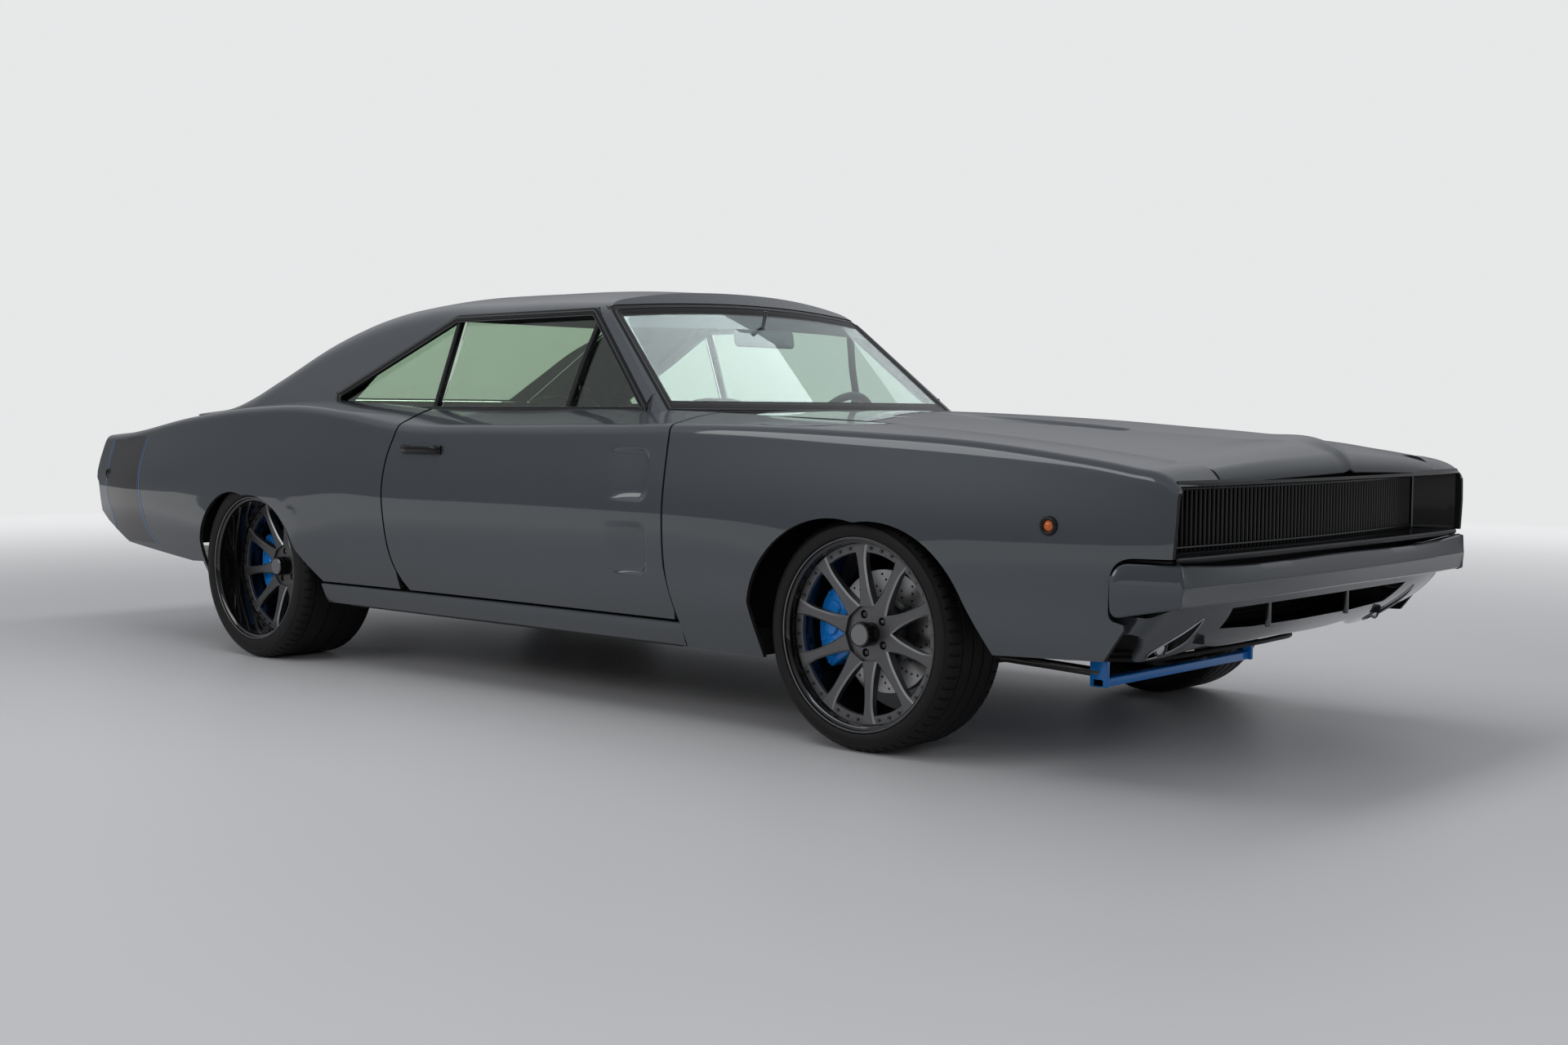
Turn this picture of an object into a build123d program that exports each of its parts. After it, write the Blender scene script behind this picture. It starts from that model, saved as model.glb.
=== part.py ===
"""Two-door fastback muscle car of the late 1960s, lowered, on wide modern wheels.

Millimetres, +X forward, +Y to the car's left, +Z up, standing on the ground at Z = 0.
The origin is on the ground below the middle of the car's overall box.
"""
from build123d import *
import math
import os

os.makedirs("parts", exist_ok=True)

# ---- Driving dimensions -------------------------------------------------------------
front_overhang = 1031
wheelbase = 2972
rear_overhang = 1314
overall_length = front_overhang + wheelbase + rear_overhang
front_axle_x = overall_length / 2 - front_overhang
rear_axle_x = front_axle_x - wheelbase
nose_x, tail_x = overall_length / 2, -overall_length / 2

gap = 8                      # shut line between two outer panels
skin = 14                    # depth of a folded wing or quarter panel
lid_skin = 20                # depth of the hood and trunk lid
glass = 6                    # pane thickness
trim_gap = 2                 # a pane stands this far inside its frame
fit = 0.5                    # clearance between bolted neighbours

low_z, side_z, mid_z = 235, 400, 620          # heights that the body-side sections share
far_y = 1200                 # a half width outside everything

# body side, half widths in plan: distance ahead of the axle, sill, lower side, widest,
# crease, crease height, upper edge, upper edge height
FRONT_SIDE = [
    (992, 862, 886, 893, 885, 777, 668, 781),
    (955, 866, 892, 900, 888, 800, 670, 817),
    (859, 874, 905, 914, 897, 822, 674, 833),
    (670, 882, 922, 932, 908, 851, 680, 858),
    (416, 888, 938, 949, 917, 880, 684, 886),
    (0, 895, 955, 960, 924, 902, 690, 920),
    (-468, 890, 944, 957, 924, 915, 700, 941),
    (-734, 886, 938, 953, 922, 915, 712, 953),
    (-1021, 883, 934, 948, 920, 907, 765, 962),
    (-1621, 881, 928, 942, 916, 900, 765, 958),
]
REAR_SIDE = [
    (881, 883, 936, 951, 924, 903, 765, 966),
    (571, 887, 948, 963, 934, 945, 765, 980),
    (291, 892, 966, 974, 936, 968, 765, 992),
    (0, 894, 975, 978, 937, 963, 700, 990),
    (-509, 890, 952, 963, 922, 922, 632, 942),
    (-1012, 872, 915, 932, 895, 857, 650, 874),
    (-1309, 850, 880, 893, 868, 838, 664, 852),
]
BODY_SIDE = ([(front_axle_x + x, *rest) for x, *rest in FRONT_SIDE]
             + [(rear_axle_x + x, *rest) for x, *rest in REAR_SIDE])
side_front_x, side_rear_x = BODY_SIDE[0][0], BODY_SIDE[-1][0]
front_join_x, rear_join_x = front_axle_x - 734, rear_axle_x + 881      # tables of doors and wings meet here

# ---- Wheels -------------------------------------------------------------------------
rim_flange_r = 276
rim_barrel_r = 262
rim_wall = 11
rim_flange = 9
spoke_count = 10
hub_r = 78
stud_circle_r = 57
disc_thickness = 32
disc_r = 178
pin_r = 25
pin_clearance = 0.05
caliper_half = 52
# name, axle x, lip plane half width, rim width, tyre radius, spoke depth, disc depth
WHEELS = {
    "front": dict(x=front_axle_x, lip_y=912, width=255, tyre_r=332, spoke=34, disc=150),
    "rear": dict(x=rear_axle_x, lip_y=952, width=335, tyre_r=347, spoke=118, disc=228),
}
kingpin_y = 695
SIDES = {"left": 1, "right": -1}

# ---- Cabin --------------------------------------------------------------------------
belt_y = 765                 # inner edge of a door's top
roof_side_low, tumble = (775, 955), 0.368      # body-side lean: y, z and how far in per height
header_z = 1366              # top of the windshield opening's frame at the centre
rail_z = header_z - 44       # roof edge over the doors
crown_z = header_z + 35      # highest point of the roof
pillar_y = 48                # depth of a roof rail or pillar across the car
roof_skin = 28
screen_base = (front_axle_x - 785, 955)        # centre line of the windshield's surface: x, z
screen_header = (front_axle_x - 1284, header_z)
screen_radius = 3555         # the windshield is part of a leaning cylinder
door_low_z = 322
door_inner_y = 790
sill_top_z = door_low_z - gap
hood_rear_x = front_axle_x - 771
floor_z, floor_skin = 250, 14
firewall_x = front_axle_x - 471
cabin_rear_x = rear_axle_x + 421
trunk_floor_z = 500
wheelhouse_y = 592
wheelhouse_top_z = 722


def ahead(points):
    """Side-view points given as distances ahead of the front axle."""
    return [(front_axle_x + x, z) for x, z in points]


def behind(points):
    """Side-view points given as distances ahead of the rear axle, below zero behind it."""
    return [(rear_axle_x + x, z) for x, z in points]


def side_prism(points, y_from, y_to):
    """An outline drawn in side view (x, z), as a solid from one half width to another."""
    with BuildPart() as prism:
        with BuildSketch(Plane.XZ.offset(-y_to)):
            with BuildLine():
                Polyline(*points, close=True)
            make_face()
        extrude(amount=y_to - y_from)
    return prism.part


def cross_prism(points, x_from, x_to):
    """An outline drawn from the front (y, z), as a solid from one x to another."""
    with BuildPart() as prism:
        with BuildSketch(Plane.YZ.offset(x_from)):
            with BuildLine():
                Polyline(*points, close=True)
            make_face()
        extrude(amount=x_to - x_from)
    return prism.part


def plan_prism(points, z_from, z_to):
    """An outline drawn from above (x, y), as a solid from one height to another."""
    with BuildPart() as prism:
        with BuildSketch(Plane.XY.offset(z_from)):
            with BuildLine():
                Polyline(*points, close=True)
            make_face()
        extrude(amount=z_to - z_from)
    return prism.part


def block(x_range, y_range, z_range):
    """A plain block between two values on each axis."""
    corners = [(x_range[0], y_range[0]), (x_range[1], y_range[0]),
               (x_range[1], y_range[1]), (x_range[0], y_range[1])]
    return plan_prism(corners, *z_range)


def both_sides(shape):
    """The shape and its mirror image across the car's centre plane."""
    return [shape, mirror(shape, about=Plane.XZ)]


def outer_points(row):
    x, sill_y, lower_y, wide_y, crease_y, crease_z, top_y, top_z = row
    return [(sill_y, low_z), (lower_y, side_z), (wide_y, mid_z), (crease_y, crease_z), (top_y, top_z)]


def skin_y(x, z):
    """Half width of the body side at a point of the side view."""
    for near, far in zip(BODY_SIDE, BODY_SIDE[1:]):
        if far[0] <= x <= near[0]:
            share = (near[0] - x) / (near[0] - far[0])
            line = [(a[0] + (b[0] - a[0]) * share, a[1] + (b[1] - a[1]) * share)
                    for a, b in zip(outer_points(near), outer_points(far))]
            for low, high in zip(line, line[1:]):
                if low[1] <= z <= high[1]:
                    return low[0] + (high[0] - low[0]) * (z - low[1]) / (high[1] - low[1])


def shell_section(row):
    """A panel of even depth that follows the outer line."""
    outer = outer_points(row)
    crease_y, crease_z = outer[3]
    top_y, top_z = outer[4]
    inner = [(top_y, top_z - skin), (crease_y - skin, crease_z - skin)]
    return outer + inner + [(y - skin, z) for y, z in reversed(outer[:3])]


def door_section(row):
    """A full door: from the outer line to the flat inner trim."""
    outer = outer_points(row)
    top_y, top_z = max(outer[4][0], belt_y), outer[4][1]
    outer[4] = (top_y, top_z)
    return outer + [(top_y, top_z - 30), (door_inner_y, top_z - 70), (door_inner_y, low_z)]


def relief_section(clearance):
    """What lies under the body side's surface and beside it, a clearance larger."""
    def section(row):
        outer = outer_points(row)
        crease_y, crease_z = outer[3]
        top_y, top_z = outer[4]
        edge_y = (max(top_y, belt_y) if row[0] > rear_join_x else top_y) - clearance
        return [(edge_y, 880), (edge_y, top_z + clearance), (crease_y, crease_z + clearance),
                (far_y, crease_z + clearance), (far_y, 880)]
    return section


def body_loft(section, x_low, x_high):
    """The left body side between two stations of the table."""
    with BuildPart() as side:
        for row in BODY_SIDE:
            if x_low <= row[0] <= x_high:
                with BuildSketch(Plane.YZ.offset(row[0])):
                    with BuildLine():
                        Polyline(*section(row), close=True)
                    make_face()
        loft(ruled=True)
    return side.part


front_side = body_loft(shell_section, front_join_x, side_front_x)
rear_side = body_loft(shell_section, side_rear_x, rear_join_x)
door_side = body_loft(door_section, rear_axle_x + 571, front_axle_x - 468)

# ---- Outlines in side view ----------------------------------------------------------
arch_reach = 400             # how far the arch cutters reach across the car


def arch_cutter(rear_foot, rear_hub, crown_rear, crown, crown_front, front_hub, front_foot):
    """The opening of a wheel arch, two arcs over the wheel and straight feet."""
    with BuildPart() as cutter:
        with BuildSketch(Plane.XZ.offset(-far_y)):
            with BuildLine():
                Line(rear_foot, rear_hub)
                ThreePointArc(rear_hub, crown_rear, crown)
                ThreePointArc(crown, crown_front, front_hub)
                Line(front_hub, front_foot)
                Line(front_foot, rear_foot)
            make_face()
        extrude(amount=arch_reach)
    return cutter.part


front_arch = arch_cutter(*ahead([(-362, 200), (-387, 400), (-272, 582), (20, 651), (262, 603),
                                 (392, 454), (532, 200)]))
rear_arch = arch_cutter(*behind([(-348, 200), (-353, 440), (-260, 588), (-40, 626), (168, 587),
                                 (312, 436), (560, 200)]))

above_z = 1100               # a height over every side panel
side_in_y = 500              # well inside every side panel
DOOR_FRONT = ahead([(-712, above_z), (-728, 760), (-729, 600), (-719, 450), (-691, 300), (-673, 150)])
DOOR_REAR = behind([(906, above_z), (889, 900), (846, 800), (827, 690), (839, 560), (881, 400),
                    (926, 332)])

fender_outline = side_prism(
    DOOR_FRONT + ahead([(440, 150), (440, 318), (858, 330), (858, 430), (815, 436), (815, 592)])
    + [(nose_x + 50, 592), (nose_x + 50, above_z)], side_in_y, far_y)
quarter_outline = side_prism(
    [(x - gap, z) for x, z in DOOR_REAR]
    + behind([(911, door_low_z), (401, door_low_z), (401, 150), (-349, 150), (-369, 352), (-453, 349),
              (-993, 398), (-1183, 481), (-1248, 520), (-1266, 580), (-1284, 640), (-1305, 660),
              (-1306, 690), (-1230, 842), (-1215, above_z)]), side_in_y, far_y)
door_outline = side_prism(
    [(x - gap, z) for x, z in DOOR_FRONT[:4]]
    + [(front_axle_x - 705, door_low_z), (rear_axle_x + 936, door_low_z)] + DOOR_REAR[::-1], side_in_y, far_y)

# ---- Front wings and rear quarters --------------------------------------------------
with BuildPart() as front_fender_left:
    add(front_side)
    add(fender_outline, mode=Mode.INTERSECT)
    add(front_arch, mode=Mode.SUBTRACT)

with BuildPart() as front_fender_right:
    add(mirror(front_fender_left.part, about=Plane.XZ))

with BuildPart() as quarter_panel_left:
    add(rear_side)
    add(quarter_outline, mode=Mode.INTERSECT)
    add(rear_arch, mode=Mode.SUBTRACT)

with BuildPart() as quarter_panel_right:
    add(mirror(quarter_panel_left.part, about=Plane.XZ))

# ---- Doors --------------------------------------------------------------------------
channel_y = (750, 800)       # window channel under the belt
channel_z = (880, 934)
scallop_depth = 12
SCALLOPS = [(680, 840), (450, 610)]            # low and high edge of the two side scallops
scallop_front_x, scallop_rear_x = front_axle_x - 804, front_axle_x - 1010
handle_x = (rear_axle_x + 920, rear_axle_x + 1136)
handle_z = (806, 832)
handle_stand = 22


def side_scallop(low, high):
    """A shallow recess with a blunt front end, fading out to the rear."""
    middle, nose = (low + high) / 2, 30
    outline = [(scallop_rear_x, low), (scallop_front_x - nose, low), (scallop_front_x, middle - nose),
               (scallop_front_x, middle + nose), (scallop_front_x - nose, high), (scallop_rear_x, high)]
    front_y, rear_y = skin_y(scallop_front_x, middle) - scallop_depth, skin_y(scallop_rear_x, middle) + 2
    with BuildPart() as recess:
        add(side_prism(outline, 800, far_y))
        add(plan_prism([(scallop_front_x + 5, front_y), (scallop_rear_x - 5, rear_y),
                        (scallop_rear_x - 5, far_y),
                        (scallop_front_x + 5, far_y)], low - 5, high + 5), mode=Mode.INTERSECT)
    return recess.part


handle_y = skin_y(sum(handle_x) / 2, sum(handle_z) / 2)
with BuildPart() as door_left:
    add(door_side)
    add(block((rear_axle_x + 931, front_axle_x - 991), channel_y, channel_z))
    add(door_outline, mode=Mode.INTERSECT)
    for low, high in SCALLOPS:
        add(side_scallop(low, high), mode=Mode.SUBTRACT)
    add(block(handle_x, (handle_y - 12, handle_y + handle_stand), handle_z))

with BuildPart() as door_right:
    add(mirror(door_left.part, about=Plane.XZ))

# ---- Roof with pillars and sails ----------------------------------------------------
# x, edge height, centre height
ROOF = [(front_axle_x - 727, rail_z - 8, header_z - 4), (front_axle_x - 1297, rail_z - 4, header_z + 10),
        (front_axle_x - 1627, rail_z, header_z + 31), (front_axle_x - 1927, rail_z + 1, crown_z),
        (rear_axle_x + 668, rail_z + 2, crown_z - 4), (rear_axle_x + 386, rail_z - 39, crown_z - 39),
        (rear_axle_x + 110, rail_z - 123, crown_z - 121), (rear_axle_x - 161, 1076, 1150),
        (rear_axle_x - 449, 961, 1010), (rear_axle_x - 659, 940, 960)]
roof_bottom = 930
rear_bottom_x = rear_axle_x - 80
CABIN_LINE = [(front_axle_x, 860), (front_axle_x, crown_z), (rear_axle_x + 551, crown_z - 70),
              (rear_bottom_x, 915), (rear_bottom_x, 860)]
WINDOW_LINE = (ahead([(-971, 900), (-974, 966), (-1352, rail_z - 18)])
               + behind([(877, rail_z - 21), (268, 1021), (290, 968), (310, 900)]))


def side_lean_y(z):
    """Half width of the leaning body side over the belt."""
    return roof_side_low[0] - (z - roof_side_low[1]) * tumble


def roof_loft(inset, drop):
    """Leaning sides and a crowned top, through the table of the roof's edge and centre heights."""
    with BuildPart() as shell:
        for x, edge_z, centre_z in ROOF:
            edge_y, foot_y = side_lean_y(edge_z) - inset, side_lean_y(roof_bottom - drop) - inset
            edge = edge_z - drop
            with BuildSketch(Plane.YZ.offset(x)):
                with BuildLine():
                    Polyline((-edge_y, edge), (-foot_y, roof_bottom - drop),
                             (foot_y, roof_bottom - drop), (edge_y, edge))
                    ThreePointArc((edge_y, edge), (0, centre_z - drop), (-edge_y, edge))
                make_face()
        loft(ruled=True)
    return shell.part


screen_rise = Vector(screen_header[0], 0, screen_header[1]) - Vector(screen_base[0], 0, screen_base[1])
screen_along = screen_rise.normalized()
screen_half = 1000
screen_drop = screen_half ** 2 / (2 * screen_radius)


def before_screen(depth, reach=600):
    """Everything ahead of the windshield's surface, sunk by a depth."""
    foot = Plane(origin=(screen_base[0], 0, screen_base[1]), x_dir=(0, 1, 0), z_dir=tuple(screen_along))
    side = screen_drop + depth
    with BuildPart() as front:
        with BuildSketch(foot.offset(-reach)):
            with BuildLine():
                ThreePointArc((-screen_half, side), (0, depth), (screen_half, side))
                Polyline((screen_half, side), (screen_half, -reach), (-screen_half, -reach),
                         (-screen_half, side))
            make_face()
        extrude(amount=2.5 * reach)
    return front.part


side_windows = side_prism(WINDOW_LINE, -900, 900)
trim_low, trim_top = (752, 962), (640, header_z - 56)          # corners of the windshield: y, z
screen_low_z = 950
frame_lap = 40               # how far the pillar reaches under the glass
rebate = 12


def screen_outline(lap):
    """The windshield's outline from the front, a lap smaller all round."""
    right = [(trim_low[0] - lap, screen_low_z), (trim_low[0] - lap, trim_low[1]),
             (trim_top[0] - lap, trim_top[1] - lap)]
    crown = [(0, header_z - 30 - lap)]
    return cross_prism(right + crown + [(-y, z) for y, z in right[::-1]], front_axle_x - 1400,
                       front_axle_x - 600)


sail_y, sail_end_y = 560, 646
backlight_top = (rear_axle_x + 520, crown_z - 42)
backlight_low = (rear_axle_x - 130, 985)
backlight_y = 500
tunnel_side = side_prism([backlight_top, (rear_axle_x + 591, 1500), (rear_axle_x - 949, 1500),
                          (rear_axle_x - 949, 900), (rear_axle_x - 139, 900), backlight_low], -900, 900)
tunnel_plan = plan_prism([(rear_axle_x + 591, sail_y), (rear_axle_x - 749, sail_end_y),
                          (rear_axle_x - 749, -sail_end_y), (rear_axle_x + 591, -sail_y)], 800, 1600)
with BuildPart() as tunnel_space:
    add(tunnel_side)
    add(tunnel_plan, mode=Mode.INTERSECT)

with BuildPart() as cabin_space:
    add(roof_loft(pillar_y, roof_skin))
    add(side_prism(CABIN_LINE, -900, 900), mode=Mode.INTERSECT)
    add(before_screen(roof_skin), mode=Mode.SUBTRACT)

with BuildPart() as screen_rebate:
    add(before_screen(rebate))
    add(screen_outline(0), mode=Mode.INTERSECT)

quarter_relief = body_loft(relief_section(fit), side_rear_x, rear_join_x)
door_relief = body_loft(relief_section(gap - 2), rear_join_x, front_axle_x - 468)


def slab(low, high, depth, thickness, margin, y_reach):
    """A flat pane between two points of a side view, set under its surface and short of both ends."""
    low, high = Vector(*low), Vector(*high)
    along = (high - low).normalized()
    out = Vector(along.Y, -along.X) if along.X < 0 else Vector(-along.Y, along.X)
    start, end = low + along * margin, high - along * margin
    corners = [start - out * depth, end - out * depth, end - out * (depth + thickness),
               start - out * (depth + thickness)]
    return side_prism([(c.X, c.Y) for c in corners], -y_reach, y_reach)


backlight_hole = slab(backlight_low, backlight_top, -60, 200, 45, backlight_y)

with BuildPart() as roof:
    add(roof_loft(0, 0))
    add(before_screen(0), mode=Mode.SUBTRACT)
    add(screen_rebate.part, mode=Mode.SUBTRACT)
    add(screen_outline(frame_lap), mode=Mode.SUBTRACT)
    add(cabin_space.part, mode=Mode.SUBTRACT)
    add(side_windows, mode=Mode.SUBTRACT)
    add(tunnel_space.part, mode=Mode.SUBTRACT)
    add(backlight_hole, mode=Mode.SUBTRACT)
    add(block((tail_x, front_axle_x), (0, 900), (800, 1500)), mode=Mode.INTERSECT)
    add(quarter_relief, mode=Mode.SUBTRACT)
    add(door_relief, mode=Mode.SUBTRACT)
    mirror(about=Plane.XZ)

# ---- Panes --------------------------------------------------------------------------
with BuildPart() as windshield:
    add(screen_outline(trim_gap))
    add(before_screen(rebate - fit), mode=Mode.INTERSECT)
    add(before_screen(rebate - fit - glass), mode=Mode.SUBTRACT)

with BuildPart() as rear_window:
    add(slab(backlight_low, backlight_top, 10, glass, 45 + trim_gap, backlight_y - trim_gap))

pane_inset = 18


def side_pane(outline):
    """A side window that leans in with the roof, on the left."""
    outer = [(side_lean_y(z) - pane_inset, z) for z in (900, rail_z + 20)]
    inner = [(y - glass, z) for y, z in reversed(outer)]
    with BuildPart() as pane:
        add(cross_prism(outer + inner, rear_axle_x, front_axle_x))
        add(side_prism(outline, 500, 900), mode=Mode.INTERSECT)
    return pane.part


pane_top_z = rail_z - 25
pane_joint_x = rear_axle_x + 870
with BuildPart() as door_glass_left:
    add(side_pane([(front_axle_x - 1001, channel_z[1]), (front_axle_x - 991, 968),
                   (front_axle_x - 1357, pane_top_z),
                   (pane_joint_x + 54, pane_top_z), (pane_joint_x + 41, channel_z[1])]))

with BuildPart() as door_glass_right:
    add(mirror(door_glass_left.part, about=Plane.XZ))

with BuildPart() as quarter_glass:
    add(side_pane([(pane_joint_x, 940), (pane_joint_x, pane_top_z)]
                  + behind([(285, 1020), (303, 975), (311, 940)])))
    add(mirror(quarter_glass.part, about=Plane.XZ))

# ---- Hood, cowl and trunk lid -------------------------------------------------------
# distance ahead of the axle, half width, edge height, shoulder height, centre height
HOOD = [
    (-763, 702, 951, 960, 966),
    (-547, 696, 945, 957, 964),
    (-105, 686, 928, 941, 950),
    (243, 680, 902, 918, 932),
    (512, 676, 877, 893, 913),
    (762, 669, 848, 868, 895),
    (948, 662, 820, 844, 875),
    (1024, 660, 800, 812, 834),
]
TRUNK = [
    (-309, 604, 960, 963, 964),
    (-509, 622, 942, 946, 948),
    (-1012, 640, 874, 879, 882),
    (-1222, 650, 856, 861, 864),
]


def lid(axle_x, stations, shoulder_share, lift=0):
    """A thin lid from a table of heights across it."""
    with BuildPart() as panel:
        for ahead_x, half_y, edge_z, shoulder_z, centre_z in stations:
            upper = [(-half_y, edge_z), (-half_y * shoulder_share, shoulder_z), (0, centre_z),
                     (half_y * shoulder_share, shoulder_z), (half_y, edge_z)]
            lower = [(y, z - lid_skin) for y, z in reversed(upper)]
            with BuildSketch(Plane.YZ.offset(axle_x + ahead_x)):
                with BuildLine():
                    Polyline(*[(y, z + lift) for y, z in upper + lower], close=True)
                make_face()
        loft(ruled=True)
    return panel.part


hood_nose_x, hood_corner_x = nose_x - 8, nose_x - 48
with BuildPart() as nose_plan:
    with BuildSketch(Plane.XY.offset(600)):
        with BuildLine():
            ThreePointArc((hood_corner_x, -700), (hood_nose_x, 0), (hood_corner_x, 700))
            Polyline((hood_corner_x, 700), (hood_rear_x - 150, 700), (hood_rear_x - 150, -700),
                     (hood_corner_x, -700))
        make_face()
    extrude(amount=600)

hood_scallop_depth = 7
HOOD_SCALLOP = [(-480, 130), (-480, 470), (-100, 430), (200, 330), (420, 230), (380, 160), (100, 130)]
with BuildPart() as hood_scallops:
    with BuildSketch(Plane.XY.offset(700)):
        with BuildLine():
            Polyline(*ahead(HOOD_SCALLOP), close=True)
        make_face()
    extrude(amount=400)
    mirror(about=Plane.XZ)
    add(lid(front_axle_x, HOOD, 0.5, lid_skin - hood_scallop_depth), mode=Mode.INTERSECT)

with BuildPart() as hood:
    add(lid(front_axle_x, HOOD, 0.5))
    add(nose_plan.part, mode=Mode.INTERSECT)
    add(hood_scallops.part, mode=Mode.SUBTRACT)

with BuildPart() as trunk_lid:
    add(lid(rear_axle_x, TRUNK, 0.6))

cowl_front_x = front_axle_x - 877
cowl_low_z, cowl_deck_z = 900, 915      # underside of the cowl's box and of its deck
cowl_half_y, cowl_box_y = 757, 688
cowl_top_z = roof_bottom - fit
with BuildPart() as cowl:
    add(block((cowl_front_x, hood_rear_x), (-cowl_half_y, cowl_half_y), (cowl_deck_z, cowl_top_z)))
    add(block((cowl_front_x - 33, cowl_front_x), (-680, 680), (cowl_low_z, cowl_deck_z + 10)))
    add(block((cowl_front_x, hood_rear_x), (-cowl_box_y, cowl_box_y), (cowl_low_z, cowl_deck_z)))
    for side in SIDES.values():
        add(block((hood_rear_x, hood_rear_x + 34), sorted((side * 709, side * cowl_half_y)),
                  (cowl_deck_z, cowl_top_z)))

deck_front_x, deck_rear_x = rear_axle_x - 141, rear_axle_x - 301
with BuildPart() as rear_deck:
    add(cross_prism([(-598, 930), (-598, 950), (0, 958), (598, 950), (598, 930)], deck_rear_x,
                    deck_front_x))
    add(block((deck_rear_x, rear_axle_x + 251), (-560, 560), (915, 930)))

# ---- Floor, sills, bulkheads and wheelhouses ----------------------------------------
wall = 14
tunnel_y, tunnel_z = 130, 400
sill_rear_x, sill_front_x = rear_axle_x + 536, front_axle_x - 396
with BuildPart() as floor_pan:
    add(block((cabin_rear_x, firewall_x), (-800, 800), (floor_z, floor_z + floor_skin)))
    for side in SIDES.values():
        add(side_prism([(sill_rear_x, low_z), (front_axle_x - 716, low_z),
                        (front_axle_x - 716, sill_top_z),
                        (sill_rear_x - 65, sill_top_z)], *sorted((side * 770, side * 880))))
        add(block((front_axle_x - 716, sill_front_x), sorted((side * 770, side * 868)),
                  (low_z, sill_top_z)))
        add(block((front_axle_x - 691, firewall_x), sorted((side * 730, side * 745)), (floor_z, cowl_deck_z)))
    add(block((cabin_rear_x, firewall_x), (-tunnel_y, tunnel_y), (floor_z, tunnel_z)))
    add(block((firewall_x - wall, firewall_x), (-740, 740), (floor_z, cowl_deck_z)))
    add(block((front_axle_x - 905, firewall_x), (-700, 700), (cowl_low_z - 15, cowl_low_z)))
    add(block((cabin_rear_x, firewall_x), (-tunnel_y + 20, tunnel_y - 20), (floor_z - 50, tunnel_z - 20)),
        mode=Mode.SUBTRACT)

rail_front_x = front_axle_x + 639
rail_start_x = firewall_x + fit
frame_rail_y, frame_rail_z = (340, 430), (280, 370)      # the two lower frame rails
upper_rail_y, upper_rail_z = (610, 650), (770, 800)      # the rails under the front wings
cooler_y, cooler_z = 330, (420, 760)                     # opening behind the grille
support_x = rail_front_x - 20
with BuildPart() as front_rails:
    for side in SIDES.values():
        add(block((rail_start_x, rail_front_x), sorted(side * y for y in frame_rail_y), frame_rail_z))
        add(block((rail_start_x, rail_front_x), sorted(side * y for y in upper_rail_y), upper_rail_z))
    add(block((support_x, rail_front_x), (-upper_rail_y[1], upper_rail_y[1]),
              (frame_rail_z[1], upper_rail_z[1])))
    add(block((support_x, rail_front_x), (-frame_rail_y[1], frame_rail_y[1]),
              (frame_rail_z[0], upper_rail_z[1])))
    add(block((support_x, rail_front_x + 1), (-cooler_y, cooler_y), cooler_z), mode=Mode.SUBTRACT)
    add(block((support_x - 20, rail_front_x - 4), (-cooler_y, cooler_y),
              (cooler_z[0] - 5, cooler_z[1] + 5)))

house_rear_x = rear_axle_x - 449
trunk_rear_x = tail_x + 150
cabin_back_x = cabin_rear_x - fit
with BuildPart() as trunk_floor:
    add(block((cabin_back_x - wall, cabin_back_x), (-745, 745), (floor_z, 700)))
    add(block((trunk_rear_x, cabin_back_x), (-wheelhouse_y, wheelhouse_y),
              (trunk_floor_z, trunk_floor_z + floor_skin)))
    add(block((trunk_rear_x - wall, trunk_rear_x), (-650, 650), (500, 820)))
    for side in SIDES.values():
        inner_y = side * (wheelhouse_y - wall)
        add(block((house_rear_x, cabin_back_x), sorted((inner_y, side * wheelhouse_y)),
                  (440, wheelhouse_top_z + wall)))
        add(block((house_rear_x, cabin_back_x), sorted((inner_y, side * 925)),
                  (wheelhouse_top_z, wheelhouse_top_z + wall)))
        add(block((house_rear_x, house_rear_x + wall), sorted((inner_y, side * 900)),
                  (420, wheelhouse_top_z)))
        add(block((cabin_back_x - wall, cabin_back_x), sorted((inner_y, side * 770)),
                  (floor_z, wheelhouse_top_z)))
        add(block((rear_axle_x - 1049, cabin_back_x), sorted((side * 505, side * 560)),
                  (435, trunk_floor_z)))
    add(block((cabin_back_x - wall, cabin_back_x), (-tunnel_y + 20, tunnel_y - 20),
              (floor_z - 50, tunnel_z - 20)),
        mode=Mode.SUBTRACT)

# ---- Front end ----------------------------------------------------------------------
corner_bend = 60


def nose_outline(front_x, corner_x, half_y, wrap_x, depth):
    """A band in plan that follows the nose: an arc across the front and straight sides."""
    bend_x, bend_y = corner_x - corner_bend, half_y - corner_bend
    inner_x, inner_y = corner_x - depth, bend_y - depth
    with BuildLine() as line:
        ThreePointArc((corner_x, -bend_y), (front_x, 0), (corner_x, bend_y))
        Polyline((corner_x, bend_y), (bend_x, half_y), (wrap_x, half_y), (wrap_x, half_y - depth),
                 (bend_x - depth / 3, half_y - depth), (inner_x, inner_y))
        ThreePointArc((inner_x, inner_y), (front_x - depth, 0), (inner_x, -inner_y))
        Polyline((inner_x, -inner_y), (bend_x - depth / 3, -half_y + depth), (wrap_x, -half_y + depth),
                 (wrap_x, -half_y), (bend_x, -half_y), (corner_x, -bend_y))
    return line.line


def nose_band(rings, wrap_x, depth):
    """The band through rings of height, front, corner and half width."""
    with BuildPart() as band:
        for z, front_x, corner_x, half_y in rings:
            with BuildSketch(Plane.XY.offset(z)):
                add(nose_outline(front_x, corner_x, half_y, wrap_x, depth))
                make_face()
        loft(ruled=True)
    return band.part


def mirrored(points):
    """A half outline drawn from the front, from the centre plane outward and back, and its mirror image."""
    return points + [(-y, z) for y, z in reversed(points) if y > 0]


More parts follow.
